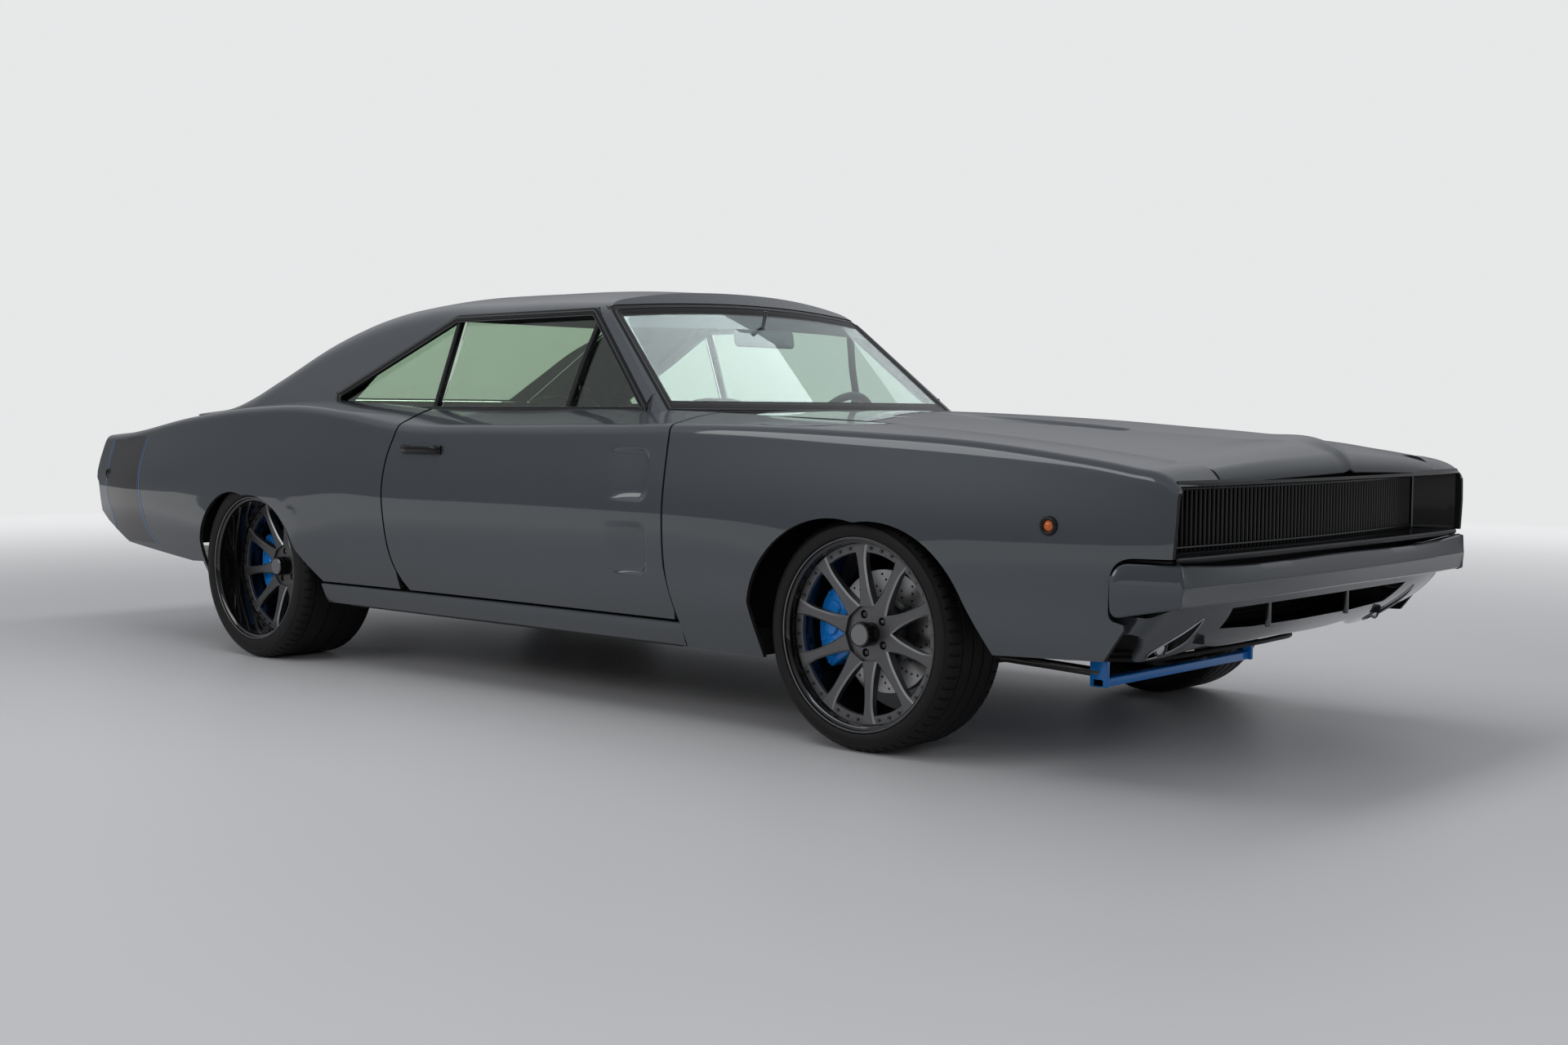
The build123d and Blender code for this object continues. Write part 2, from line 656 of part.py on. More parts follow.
bumper_wrap_x = front_axle_x + 823
BUMPER = [(442, nose_x - 42, nose_x - 70, 926), (530, nose_x, nose_x - 28, 934),
          (590, nose_x - 36, nose_x - 64, 930)]
BUMPER_FACE = [(0, 572), (700, 572), (880, 576), (936, 584), (936, 442), (880, 450), (700, 474), (0, 477)]
with BuildPart() as front_bumper:
    add(nose_band(BUMPER, bumper_wrap_x, 40))
    add(cross_prism(mirrored(BUMPER_FACE), bumper_wrap_x - 10, nose_x + 10), mode=Mode.INTERSECT)

valance_wrap_x = nose_x - 400
VALANCE = [(295, nose_x - 277, nose_x - 305, 846), (320, nose_x - 230, nose_x - 258, 850),
           (345, nose_x - 187, nose_x - 216, 856), (376, nose_x - 142, nose_x - 172, 862),
           (410, nose_x - 102, nose_x - 134, 869), (500, nose_x - 60, nose_x - 96, 884)]
VALANCE_FACE = [(0, 472), (700, 468), (890, 436), (890, 400), (800, 365), (745, 318), (700, 300),
                (560, 308), (450, 328), (350, 318), (0, 318)]
VALANCE_MOUTH = [(0, 376), (300, 379), (508, 391), (540, 452), (0, 462)]
DUCT = [(642, 426), (658, 426), (672, 388), (682, 352), (674, 330), (650, 318), (626, 330), (618, 352),
        (628, 388)]
guard_y = 235
with BuildPart() as front_valance:
    add(nose_band(VALANCE, valance_wrap_x, 18))
    add(cross_prism(mirrored(VALANCE_FACE), valance_wrap_x - 10, nose_x + 10), mode=Mode.INTERSECT)
    add(cross_prism(mirrored(VALANCE_MOUTH), valance_wrap_x, nose_x + 10), mode=Mode.SUBTRACT)
    for side in SIDES.values():
        add(cross_prism([(side * y, z) for y, z in DUCT], valance_wrap_x, nose_x + 10), mode=Mode.SUBTRACT)
    add(block((nose_x - 360, nose_x - 190), (-430, 430), (352, 366)))
    for side in SIDES.values():
        add(block((nose_x - 165, nose_x - 135), sorted((side * guard_y, side * (guard_y + 14))),
                  (370, 470)))

bar_pitch, bar_width, bar_depth, bar_span = 20, 8, 8, 850
grille_x = nose_x - 118
pocket_z, pocket_top_z = 590, 776
bar_count = int(2 * bar_span / bar_pitch) + 1
with BuildPart() as grille:
    add(block((grille_x, grille_x + 10), (-bar_span, bar_span), (pocket_z, pocket_top_z)))
    with BuildSketch(Plane.YZ.offset(grille_x + 10)):
        with GridLocations(bar_pitch, 0, bar_count, 1):
            with Locations((0, (pocket_z + pocket_top_z) / 2)):
                Rectangle(bar_width, pocket_top_z - pocket_z)
    extrude(amount=bar_depth)
    add(block((grille_x - 272, grille_x), (-640, 640), (pocket_z, pocket_z + 8)))
    add(block((grille_x + 10, grille_x + 40), (-bar_span, bar_span), (pocket_z - 8, pocket_z + 2)))

MARKERS = [(front_axle_x + 648, 668),
           (rear_axle_x - 1179, 680)]       # x, height of the side marker lamps
marker_r = 24
with BuildPart() as marker_lamps:
    for x, z in MARKERS:
        for side in SIDES.values():
            with BuildSketch(Plane(origin=(x, side * (skin_y(x, z) + 5), z), x_dir=(1, 0, 0),
                                   z_dir=(0, side, 0))):
                Circle(marker_r)
            extrude(amount=10)

# ---- Tail ---------------------------------------------------------------------------
panel_top, panel_low = (tail_x + 96.5, 825), (tail_x + 36, 655)
under_low, under_end = (tail_x + 62, 514), (tail_x + 128, 480)
sheet = 14
lamp_y = (300, 440)
lamp_r = 46
plate_spacing, plate_hole_r, plate_z = 177.8, 3.5, 585
with BuildPart() as tail_panel:
    add(side_prism([panel_top, panel_low, under_low, under_end,
                    (under_end[0] + sheet, under_end[1] + sheet),
                    (under_low[0] + sheet, under_low[1] + sheet / 2),
                    (panel_low[0] + sheet, panel_low[1]),
                    (panel_top[0] + sheet, panel_top[1])], -840, 840))
lamp_plane = Plane(origin=((panel_top[0] + panel_low[0]) / 2, 0, (panel_top[1] + panel_low[1]) / 2),
                   x_dir=(0, -1, 0),
                   z_dir=(panel_low[1] - panel_top[1], 0, panel_top[0] - panel_low[0]))
with BuildPart() as tail_lamps:
    with BuildSketch(lamp_plane.offset(fit)):
        for side in SIDES.values():
            with Locations(*[(side * y, 0) for y in lamp_y]):
                Circle(lamp_r)
    extrude(amount=8)
with BuildPart() as rear_bumper:
    add(side_prism([(tail_x + 37, 645), (tail_x + 6, 643), (tail_x, 620), (tail_x, 555),
                    (tail_x + 12, 526),
                    (tail_x + 56, 523)], -868, 868))
    with BuildSketch(Plane.YZ.offset(tail_x)):
        with Locations((-plate_spacing / 2, plate_z), (plate_spacing / 2, plate_z)):
            Circle(plate_hole_r)
    extrude(amount=60, mode=Mode.SUBTRACT)

# ---- Inside the cabin ---------------------------------------------------------------
dash_x = front_axle_x - 1021
with BuildPart() as dashboard:
    add(side_prism([(dash_x, 900), (dash_x + 40, 935), (dash_x + 100, 925), (dash_x + 110, 870),
                    (dash_x + 100, 700),
                    (dash_x + 40, 660), (dash_x, 720)], -708, 708))
wheel_centre = (dash_x - 130, 370, 860)
wheel_r, wheel_rim = 180, 22
with BuildPart() as steering_wheel:
    with BuildSketch(Plane(origin=wheel_centre, x_dir=(0, 1, 0), z_dir=(-0.9, 0, 0.43))):
        Circle(wheel_r)
        Circle(wheel_r - wheel_rim, mode=Mode.SUBTRACT)
        Rectangle(2 * wheel_r - 30, 30)
        Circle(40)
    extrude(amount=10, both=True)
    with BuildSketch(Plane(origin=wheel_centre, x_dir=(0, 1, 0), z_dir=(0.9, 0, -0.43))):
        Circle(26)
    extrude(amount=190)
    add(dashboard.part, mode=Mode.SUBTRACT)
    add(block((dash_x + 45, dash_x + 300), (0, 700), (600, 900)), mode=Mode.SUBTRACT)


def seat(x, y, half_width, base_top, back_height, lean):
    """A padded seat: a cushion and a leaning back in one solid."""
    outline = [(x + 480, base_top), (x + 60, base_top - 30), (x - lean, base_top + back_height),
               (x - lean - 100, base_top + back_height - 20), (x - 90, base_top - 60),
               (x - 90, floor_z + floor_skin), (x + 440, floor_z + floor_skin)]
    return side_prism(outline, y - half_width, y + half_width)


front_seat_x = front_axle_x - 1757
bench_x = rear_axle_x + 470
with BuildPart() as front_seats:
    for side in SIDES.values():
        add(seat(front_seat_x, side * 400, 240, 500, 540, 110))
with BuildPart() as rear_seat:
    add(side_prism([(bench_x + 360, 480), (bench_x + 60, 455), (bench_x, 900), (cabin_rear_x + 6, 900),
                    (cabin_rear_x + 2, floor_z + floor_skin), (bench_x + 320, floor_z + floor_skin)],
                    -560, 560))
    add(block((cabin_rear_x, bench_x + 400), (-tunnel_y - 10, tunnel_y + 10), (200, tunnel_z + 10)),
        mode=Mode.SUBTRACT)

# ---- Drive line and chassis ---------------------------------------------------------
with BuildPart() as engine:
    add(block((front_axle_x - 381, front_axle_x + 220), (-270, 270), (290, 820)))
cross_x = front_axle_x + 490
with BuildPart() as front_subframe:
    add(block((front_axle_x - 61, front_axle_x + 79), (-440, 440), (160, 270)))
    for side in SIDES.values():
        add(block((front_axle_x - 241, front_axle_x + 619), sorted((side * 345, side * 425)), (215, 279)))
        add(block((front_axle_x - 31, front_axle_x + 29), sorted((side * 425, side * 690)), (160, 176)))
        add(block((cross_x - 18, cross_x + 18), sorted((side * 405, side * 425)), (186, 230)))
    add(block((cross_x - 18, cross_x + 18), (-425, 425), (186, 200)))
axle_z = 347
with BuildPart() as rear_axle:
    with BuildSketch(Plane.XZ.offset(-690)):
        with Locations((rear_axle_x, axle_z)):
            Circle(42)
    extrude(amount=1380)
    with BuildSketch(Plane.YZ.offset(rear_axle_x - 130)):
        with Locations((0, axle_z)):
            Circle(120)
    extrude(amount=290)
pinion_x = rear_axle_x + 160
with BuildPart() as driveshaft:
    with BuildSketch(Plane.YZ.offset(pinion_x + fit)):
        with Locations((0, 325)):
            Circle(38)
    extrude(amount=firewall_x - 200 - pinion_x)
with BuildPart() as fuel_tank:
    add(block((rear_axle_x - 999, rear_axle_x - 409), (-430, 430), (300, 430)))
    add(block((rear_axle_x - 949, rear_axle_x - 449), (-400, 400), (430, trunk_floor_z - fit)))
pipe_r = 30
TAILPIPE = ([(front_axle_x - 421, 280, 205), (rear_axle_x + 391, 280, 205), (rear_axle_x + 200, 440, 430),
             (rear_axle_x - 180, 440, 430), (rear_axle_x - 370, 490, 325), (tail_x + 60, 490, 325)])
with BuildPart() as exhaust:
    for side in SIDES.values():
        with BuildLine() as route:
            Polyline(*[(x, side * y, z) for x, y, z in TAILPIPE])
        with BuildSketch(Plane.YZ.offset(TAILPIPE[0][0])):
            with Locations((side * TAILPIPE[0][1], TAILPIPE[0][2])):
                Circle(pipe_r)
        sweep(path=route.line, transition=Transition.RIGHT)
        add(block((rear_axle_x + 480, rear_axle_x + 1010), sorted((side * 170, side * 390)), (160, 245)))

# ---- Wheels, brakes and knuckles ----------------------------------------------------


def at_wheel(shape, spec, side):
    """Moves a shape modelled about the Z axis, outboard up, to its wheel."""
    place = Plane(origin=(spec["x"], side * spec["lip_y"], spec["tyre_r"]), x_dir=(1, 0, 0),
                  z_dir=(0, side, 0))
    return place.location * shape


def spoke_outline(inner_r):
    """Half of a spoke in plan is narrow over its middle and flares into the barrel; both halves."""
    half = [(hub_r - 20, 16), (hub_r + 40, 10), (inner_r - 50, 12), (inner_r + 2, 30)]
    return half + [(r, -width) for r, width in half[::-1]]


def rim_shape(spec):
    """Barrel with flanges, spokes and a hub disc; the lip plane is Z = 0."""
    width, spoke = spec["width"], spec["spoke"]
    inner_r = rim_barrel_r - rim_wall
    with BuildPart() as rim:
        with BuildSketch(Plane.XZ):
            with BuildLine():
                Polyline((inner_r, 0), (rim_flange_r, 0), (rim_flange_r, -rim_flange),
                         (rim_barrel_r, -rim_flange),
                         (rim_barrel_r, rim_flange - width), (rim_flange_r, rim_flange - width),
                         (rim_flange_r, -width), (inner_r, -width), close=True)
            make_face()
        revolve(axis=Axis.Z)
        with BuildSketch(Plane.XY.offset(-spoke - 40)):
            Circle(hub_r)
        extrude(amount=34)
        for turn in range(spoke_count):
            angle = 360 * turn / spoke_count
            with BuildSketch(Plane.XY.rotated((0, 0, angle)).offset(-spoke - 34)):
                with BuildLine():
                    Polyline(*spoke_outline(inner_r), close=True)
                make_face()
            extrude(amount=26)
        with BuildSketch(Plane.XY.offset(-spoke - 40)):
            Circle(pin_r + 6)
        extrude(amount=60)
    return rim.part


def tyre_shape(spec):
    """A low-profile tyre on the barrel, square at its shoulders."""
    width, tyre_r = spec["width"], spec["tyre_r"]
    bead = rim_flange_r + 0.5
    half = [(rim_barrel_r, -rim_flange), (bead, -rim_flange), (bead, -2), (bead + 16, 2),
            (tyre_r - 20, -3),
            (tyre_r - 4, -18), (tyre_r, -34)]
    with BuildPart() as tyre:
        with BuildSketch(Plane.XZ):
            with BuildLine():
                Polyline(*(half + [(r, -width - z) for r, z in half[::-1]]), close=True)
            make_face()
        revolve(axis=Axis.Z)
    return tyre.part


def disc_shape(spec):
    """Brake disc, its hat and the bearing bore for the spindle."""
    disc, spoke = spec["disc"], spec["spoke"]
    with BuildPart() as brake:
        with BuildSketch(Plane.XY.offset(-disc - disc_thickness / 2)):
            Circle(disc_r)
        extrude(amount=disc_thickness)
        with BuildSketch(Plane.XY.offset(-disc)):
            Circle(hub_r)
        extrude(amount=disc - spoke - 40)
        with BuildSketch(Plane.XY.offset(-disc - disc_thickness / 2)):
            Circle(pin_r + pin_clearance)
        extrude(amount=50, mode=Mode.SUBTRACT)
    return brake.part


def caliper_shape(spec):
    """A bridge over the disc, behind the axle."""
    disc = spec["disc"]
    half = caliper_half
    reach = math.radians(34)
    outer_r, inner_r = 226, 112
    with BuildPart() as caliper:
        with BuildSketch(Plane.XY.offset(-disc - half)):
            with BuildLine():
                ThreePointArc((-outer_r * math.cos(reach), -outer_r * math.sin(reach)), (-outer_r, 0),
                              (-outer_r * math.cos(reach), outer_r * math.sin(reach)))
                Polyline((-outer_r * math.cos(reach), outer_r * math.sin(reach)),
                         (-inner_r * math.cos(reach), inner_r * math.sin(reach)),
                         (-inner_r * math.cos(reach), -inner_r * math.sin(reach)),
                         (-outer_r * math.cos(reach), -outer_r * math.sin(reach)))
            make_face()
        extrude(amount=2 * half)
        with BuildSketch(Plane.XY.offset(-disc - disc_thickness / 2 - 6)):
            Circle(disc_r + 6)
        extrude(amount=disc_thickness + 12, mode=Mode.SUBTRACT)
    return caliper.part


def spindle_shape(spec, carrier):
    """The stub that the hub turns on, standing out of its carrier."""
    disc = spec["disc"]
    with BuildPart() as spindle:
        with BuildSketch(Plane.XY.offset(-disc - carrier)):
            Circle(pin_r)
        extrude(amount=carrier + disc_thickness / 2)
    return spindle.part


def knuckle_shape(spec):
    """Upright that steers: a post on the kingpin line, the spindle and an arm to the caliper."""
    disc = spec["disc"]
    post_z = -disc - disc_thickness / 2 - 20
    with BuildPart() as knuckle:
        add(spindle_shape(spec, 60))
        add(block((-35, 35), (-150, 150), (post_z - 50, post_z)))
        add(block((-190, 0), (-30, 30), (-disc - caliper_half - 30, -disc - caliper_half)))
    return knuckle.part


rim, tyre, brake_disc, caliper = {}, {}, {}, {}
for end, spec in WHEELS.items():
    for name, side in SIDES.items():
        for store, make in ((rim, rim_shape), (tyre, tyre_shape), (brake_disc, disc_shape),
                            (caliper, caliper_shape)):
            with BuildPart() as piece:
                add(at_wheel(make(spec), spec, side))
            store[f"{end}_{name}"] = piece.part
knuckle = {}
for name, side in SIDES.items():
    with BuildPart() as piece:
        add(at_wheel(knuckle_shape(WHEELS["front"]), WHEELS["front"], side))
    knuckle[f"front_{name}"] = piece.part

with BuildPart() as rear_carrier:
    add(rear_axle.part)
    for side in SIDES.values():
        spec = WHEELS["rear"]
        add(at_wheel(spindle_shape(spec, 60), spec, side))

PIECES = dict(
    front_fender_left=front_fender_left.part, front_fender_right=front_fender_right.part,
    quarter_panel_left=quarter_panel_left.part, quarter_panel_right=quarter_panel_right.part,
    door_left=door_left.part, door_right=door_right.part, roof=roof.part, windshield=windshield.part,
    rear_window=rear_window.part, door_glass_left=door_glass_left.part,
    door_glass_right=door_glass_right.part,
    quarter_glass=quarter_glass.part, hood=hood.part, trunk_lid=trunk_lid.part, cowl=cowl.part,
    rear_deck=rear_deck.part, floor_pan=floor_pan.part, front_rails=front_rails.part,
    trunk_floor=trunk_floor.part, front_bumper=front_bumper.part,
    front_valance=front_valance.part, grille=grille.part, marker_lamps=marker_lamps.part,
    tail_panel=tail_panel.part, tail_lamps=tail_lamps.part, rear_bumper=rear_bumper.part,
    dashboard=dashboard.part, steering_wheel=steering_wheel.part, front_seats=front_seats.part,
    rear_seat=rear_seat.part, engine=engine.part, front_subframe=front_subframe.part,
    rear_axle=rear_carrier.part, driveshaft=driveshaft.part, fuel_tank=fuel_tank.part,
    exhaust=exhaust.part)
for kind, store in (("rim", rim), ("tyre", tyre), ("brake_disc", brake_disc), ("caliper", caliper),
                    ("knuckle", knuckle)):
    for place, shape in store.items():
        PIECES[f"{kind}_{place}"] = shape
for name, shape in PIECES.items():
    shape.label = name
    export_step(shape, f"parts/{name}.step")
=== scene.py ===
"""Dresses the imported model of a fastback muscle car: smooth panels, glass, wheels and finishes."""

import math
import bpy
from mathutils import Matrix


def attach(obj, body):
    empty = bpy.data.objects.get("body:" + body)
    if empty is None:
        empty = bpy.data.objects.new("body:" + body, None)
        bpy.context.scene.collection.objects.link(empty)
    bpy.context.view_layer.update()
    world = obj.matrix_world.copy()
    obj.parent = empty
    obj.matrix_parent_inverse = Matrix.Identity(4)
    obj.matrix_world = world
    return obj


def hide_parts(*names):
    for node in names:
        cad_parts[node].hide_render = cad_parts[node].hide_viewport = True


bl_info = {
    "name": "Fastback Muscle Car",
    "version": (1, 0, 0),
    "blender": (4, 5, 0),
    "location": "View3D > Sidebar > Muscle Car",
    "description": "Builds the visible pieces of a fastback muscle car round its packed CAD model",
    "category": "Object",
}

import bmesh
import bpy
from mathutils import Matrix, Vector
from mathutils.bvhtree import BVHTree

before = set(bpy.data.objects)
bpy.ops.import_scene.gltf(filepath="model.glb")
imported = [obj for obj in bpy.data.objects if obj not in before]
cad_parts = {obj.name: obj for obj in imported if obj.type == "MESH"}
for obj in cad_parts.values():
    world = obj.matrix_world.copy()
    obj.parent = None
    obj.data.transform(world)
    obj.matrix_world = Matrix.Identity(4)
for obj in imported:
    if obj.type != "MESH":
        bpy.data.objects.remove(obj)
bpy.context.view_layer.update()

# ---- Sizes shared with the CAD model, in metres --------------------------------------
FRONT_AXLE, REAR_AXLE = 1.6275, -1.3445
NOSE = 2.6585
GAP = 0.008
SKIN = 0.014
LID_SKIN = 0.020
FRONT_JOIN, REAR_JOIN = FRONT_AXLE - 0.734, REAR_AXLE + 0.881

# x, sill, lower side, widest, crease, crease height, upper edge, upper edge height
SIDE = [
    (FRONT_AXLE + 0.992, 0.862, 0.886, 0.893, 0.885, 0.777, 0.668, 0.781),
    (FRONT_AXLE + 0.955, 0.866, 0.892, 0.900, 0.888, 0.800, 0.670, 0.817),
    (FRONT_AXLE + 0.859, 0.874, 0.905, 0.914, 0.897, 0.822, 0.674, 0.833),
    (FRONT_AXLE + 0.670, 0.882, 0.922, 0.932, 0.908, 0.851, 0.680, 0.858),
    (FRONT_AXLE + 0.416, 0.888, 0.938, 0.949, 0.917, 0.880, 0.684, 0.886),
    (FRONT_AXLE, 0.895, 0.955, 0.960, 0.924, 0.902, 0.690, 0.920),
    (FRONT_AXLE - 0.468, 0.890, 0.944, 0.957, 0.924, 0.915, 0.700, 0.941),
    (FRONT_AXLE - 0.734, 0.886, 0.938, 0.953, 0.922, 0.915, 0.712, 0.953),
    (FRONT_AXLE - 1.021, 0.883, 0.934, 0.948, 0.920, 0.907, 0.765, 0.962),
    (FRONT_AXLE - 1.621, 0.881, 0.928, 0.942, 0.916, 0.900, 0.765, 0.958),
    (REAR_AXLE + 0.881, 0.883, 0.936, 0.951, 0.924, 0.903, 0.765, 0.966),
    (REAR_AXLE + 0.571, 0.887, 0.948, 0.963, 0.934, 0.945, 0.765, 0.980),
    (REAR_AXLE + 0.291, 0.892, 0.966, 0.974, 0.936, 0.968, 0.765, 0.992),
    (REAR_AXLE, 0.894, 0.973, 0.976, 0.937, 0.963, 0.700, 0.990),
    (REAR_AXLE - 0.509, 0.890, 0.952, 0.963, 0.922, 0.922, 0.632, 0.942),
    (REAR_AXLE - 1.012, 0.872, 0.915, 0.932, 0.895, 0.857, 0.650, 0.874),
    (REAR_AXLE - 1.309, 0.850, 0.880, 0.893, 0.868, 0.838, 0.664, 0.852),
]
SIDE_HEIGHTS = (0.235, 0.400, 0.620)
WIDEST = 0.9765
NOSE_ROLL = 0.032
SIDE_ROWS = [k / 34 for k in range(35)]
CREASE_TURN, CREASE_POINTS = 0.024, 14
# How far the cutters reach along their axes
NOSE_REACH, SCREEN_REACH = (NOSE - 0.4, NOSE + 0.1), (FRONT_AXLE - 1.4, FRONT_AXLE - 0.6)
PANEL_REACH, ARCH_REACH, CABIN_REACH = (0.5, 1.2), (0.8, 1.2), (-0.9, 0.9)
# x, edge height, centre height of the roof
ROOF = [
    (FRONT_AXLE - 0.727, 1.314, 1.362), (FRONT_AXLE - 1.297, 1.318, 1.376),
    (FRONT_AXLE - 1.627, 1.322, 1.396),
    (FRONT_AXLE - 1.927, 1.323, 1.400), (REAR_AXLE + 0.668, 1.323, 1.396), (REAR_AXLE + 0.386, 1.283, 1.362),
    (REAR_AXLE + 0.110, 1.199, 1.280), (REAR_AXLE - 0.161, 1.076, 1.150), (REAR_AXLE - 0.449, 0.961, 1.010),
    (REAR_AXLE - 0.659, 0.940, 0.960),
]
# x, half width, edge height, shoulder height, centre height
HOOD = [
    (FRONT_AXLE - 0.763, 0.702, 0.951, 0.960, 0.966), (FRONT_AXLE - 0.547, 0.696, 0.945, 0.957, 0.964),
    (FRONT_AXLE - 0.105, 0.686, 0.928, 0.941, 0.950), (FRONT_AXLE + 0.243, 0.680, 0.902, 0.918, 0.932),
    (FRONT_AXLE + 0.512, 0.676, 0.877, 0.893, 0.913), (FRONT_AXLE + 0.762, 0.669, 0.848, 0.868, 0.895),
    (FRONT_AXLE + 0.948, 0.662, 0.820, 0.844, 0.875), (FRONT_AXLE + 1.024, 0.660, 0.800, 0.812, 0.834),
]
TRUNK = [
    (REAR_AXLE - 0.309, 0.604, 0.960, 0.963, 0.964), (REAR_AXLE - 0.509, 0.622, 0.942, 0.946, 0.948),
    (REAR_AXLE - 1.012, 0.640, 0.874, 0.879, 0.882), (REAR_AXLE - 1.222, 0.650, 0.856, 0.861, 0.864),
]
HEADER = 1.366
RAIL = HEADER - 0.044
CROWN = HEADER + 0.035
LEAN_Y, LEAN_Z, LEAN = 0.775, 0.955, 0.368
SCREEN_BASE = (FRONT_AXLE - 0.785, 0.955)
SCREEN_TOP = (FRONT_AXLE - 1.284, HEADER)
SCREEN_RADIUS = 3.555


def ahead(points):
    """Points given from the front axle."""
    return [(FRONT_AXLE + x, z) for x, z in points]


def behind(points):
    """Points given from the rear axle."""
    return [(REAR_AXLE + x, z) for x, z in points]


# ---- Curves and tables ---------------------------------------------------------------


def smooth(table, x):
    """Every other column of a table at x, on a smooth curve through its rows."""
    rows = sorted(table)
    if x <= rows[0][0]:
        return rows[0][1:]
    if x >= rows[-1][0]:
        return rows[-1][1:]
    i = max(k for k in range(len(rows) - 1) if rows[k][0] <= x)
    a, b = rows[i], rows[i + 1]
    h = b[0] - a[0]
    t = (x - a[0]) / h

    def slope(k, column):
        def rise(j):
            return (rows[j + 1][column] - rows[j][column]) / (rows[j + 1][0] - rows[j][0])
        if k == 0:
            return rise(0)
        if k == len(rows) - 1:
            return rise(k - 1)
        before, after = rows[k][0] - rows[k - 1][0], rows[k + 1][0] - rows[k][0]
        return (rise(k - 1) * after + rise(k) * before) / (before + after)

    out = []
    for c in range(1, len(a)):
        m0, m1 = slope(i, c) * h, slope(i + 1, c) * h
        out.append((2 * t**3 - 3 * t**2 + 1) * a[c] + (t**3 - 2 * t**2 + t) * m0
                   + (3 * t**2 - 2 * t**3) * b[c] + (t**3 - t**2) * m1)
    return out


def ramp(low, high, value):
    """0 below low, 1 above high, with soft ends."""
    t = min(1, max(0, (value - low) / (high - low)))
    return t * t * (3 - 2 * t)


def spread(low, high, step, dense=()):
    """Numbers from low to high, a step apart, closer together in each (from, to, step) of dense."""
    marks, x = [low], low
    while x < high - 1e-6:
        near = [s for a, b, s in dense if a - 1e-9 <= x < b]
        ahead_of = [a for a, b, s in dense if a > x + 1e-9]
        move = min(near) if near else step
        if not near and ahead_of:
            move = min(move, max(min(ahead_of) - x, 0.001))
        x += move
        marks.append(min(x, high))
    if len(marks) > 2 and marks[-1] - marks[-2] < 0.0008:
        marks.pop(-2)
    return marks


def bend(points, count):
    """A smooth open curve through the points, as count points."""
    lengths = [0.0]
    for a, b in zip(points, points[1:]):
        lengths.append(lengths[-1] + math.dist(a, b))
    table = [(s, *p) for s, p in zip(lengths, points)]
    return [tuple(smooth(table, lengths[-1] * k / (count - 1))) for k in range(count)]


def turns(count):
    """Angles of equal steps round a full turn."""
    return [2 * math.pi * k / count for k in range(count)]


def corner(a, c, b, count):
    """A rounded corner from a to b with its point at c."""
    return [tuple((1 - t)**2 * p + 2 * t * (1 - t) * q + t * t * r for p, q, r in zip(a, c, b))
            for t in [k / (count - 1) for k in range(count)]]


def rounded(outline, radius, count):
    """An outline of a few corners with each of them rounded."""
    out = []
    for i, c in enumerate(outline):
        a, b = Vector(outline[i - 1]), Vector(outline[(i + 1) % len(outline)])
        c = Vector(c)
        out += corner(tuple(c + (a - c).normalized() * radius), tuple(c),
                      tuple(c + (b - c).normalized() * radius), count)
    return out


# ---- Meshes --------------------------------------------------------------------------


def mesh_object(name, points, faces):
    """A mesh of points and faces, linked to the scene."""
    mesh = bpy.data.meshes.new(name)
    mesh.from_pydata([tuple(p) for p in points], [], faces)
    mesh.update()
    piece = bpy.data.objects.new(name, mesh)
    bpy.context.scene.collection.objects.link(piece)
    return piece


def alone(piece=None):
    """Deselects everything and makes one piece active, where one is given."""
    if bpy.context.object and bpy.context.object.mode != "OBJECT":
        bpy.ops.object.mode_set(mode="OBJECT")
    bpy.ops.object.select_all(action="DESELECT")
    if piece:
        piece.select_set(True)
        bpy.context.view_layer.objects.active = piece


LOOSE, TIGHT = 0.00005, 1e-6


def tidy(piece, merge=LOOSE):
    """Merges doubled points and turns the faces outwards."""
    shape = bmesh.new()
    shape.from_mesh(piece.data)
    bmesh.ops.remove_doubles(shape, verts=shape.verts, dist=merge)
    bmesh.ops.recalc_face_normals(shape, faces=shape.faces)
    shape.to_mesh(piece.data)
    shape.free()
    return piece


def loft(name, rings, closed=True, capped=True):
    """Faces between rings of equally many points."""
    count = len(rings[0])
    points = [p for ring in rings for p in ring]
    faces = []
    for i in range(len(rings) - 1):
        for j in range(count if closed else count - 1):
            k = (j + 1) % count
            faces.append((i * count + j, i * count + k, (i + 1) * count + k, (i + 1) * count + j))
    if closed and capped:
        faces.append(tuple(range(count)))
        faces.append(tuple(len(points) - count + j for j in range(count)))
    return mesh_object(name, points, faces)


def prism(name, outline, low, high, axis="y"):
    """An outline pushed along an axis: (x, z) along y, (y, z) along x or (x, y) along z."""
    place = {"y": lambda p, v: (p[0], v, p[1]), "x": lambda p, v: (v, p[0], p[1]),
             "z": lambda p, v: (p[0], p[1], v)}
    piece = loft(name, [[place[axis](p, v) for p in outline] for v in (low, high)])
    return tidy(piece, TIGHT)


def drop(*pieces):
    """Deletes helper pieces with their meshes."""
    for piece in pieces:
        mesh = piece.data
        bpy.data.objects.remove(piece)
        if mesh.users == 0:
            bpy.data.meshes.remove(mesh)


def carve(piece, cutter, operation="DIFFERENCE", keep=False):
    """Cuts a piece with another and drops the cutter."""
    alone(piece)
    cut = piece.modifiers.new("cut", "BOOLEAN")
    cut.operation, cut.solver, cut.object = operation, "EXACT", cutter
    bpy.ops.object.modifier_apply(modifier=cut.name)
    if not keep:
        drop(cutter)
    return piece


def copy_of(piece, name):
    """A copy with its own mesh."""
    twin = piece.copy()
    twin.data = piece.data.copy()
    twin.name = twin.data.name = name
    bpy.context.scene.collection.objects.link(twin)
    return twin


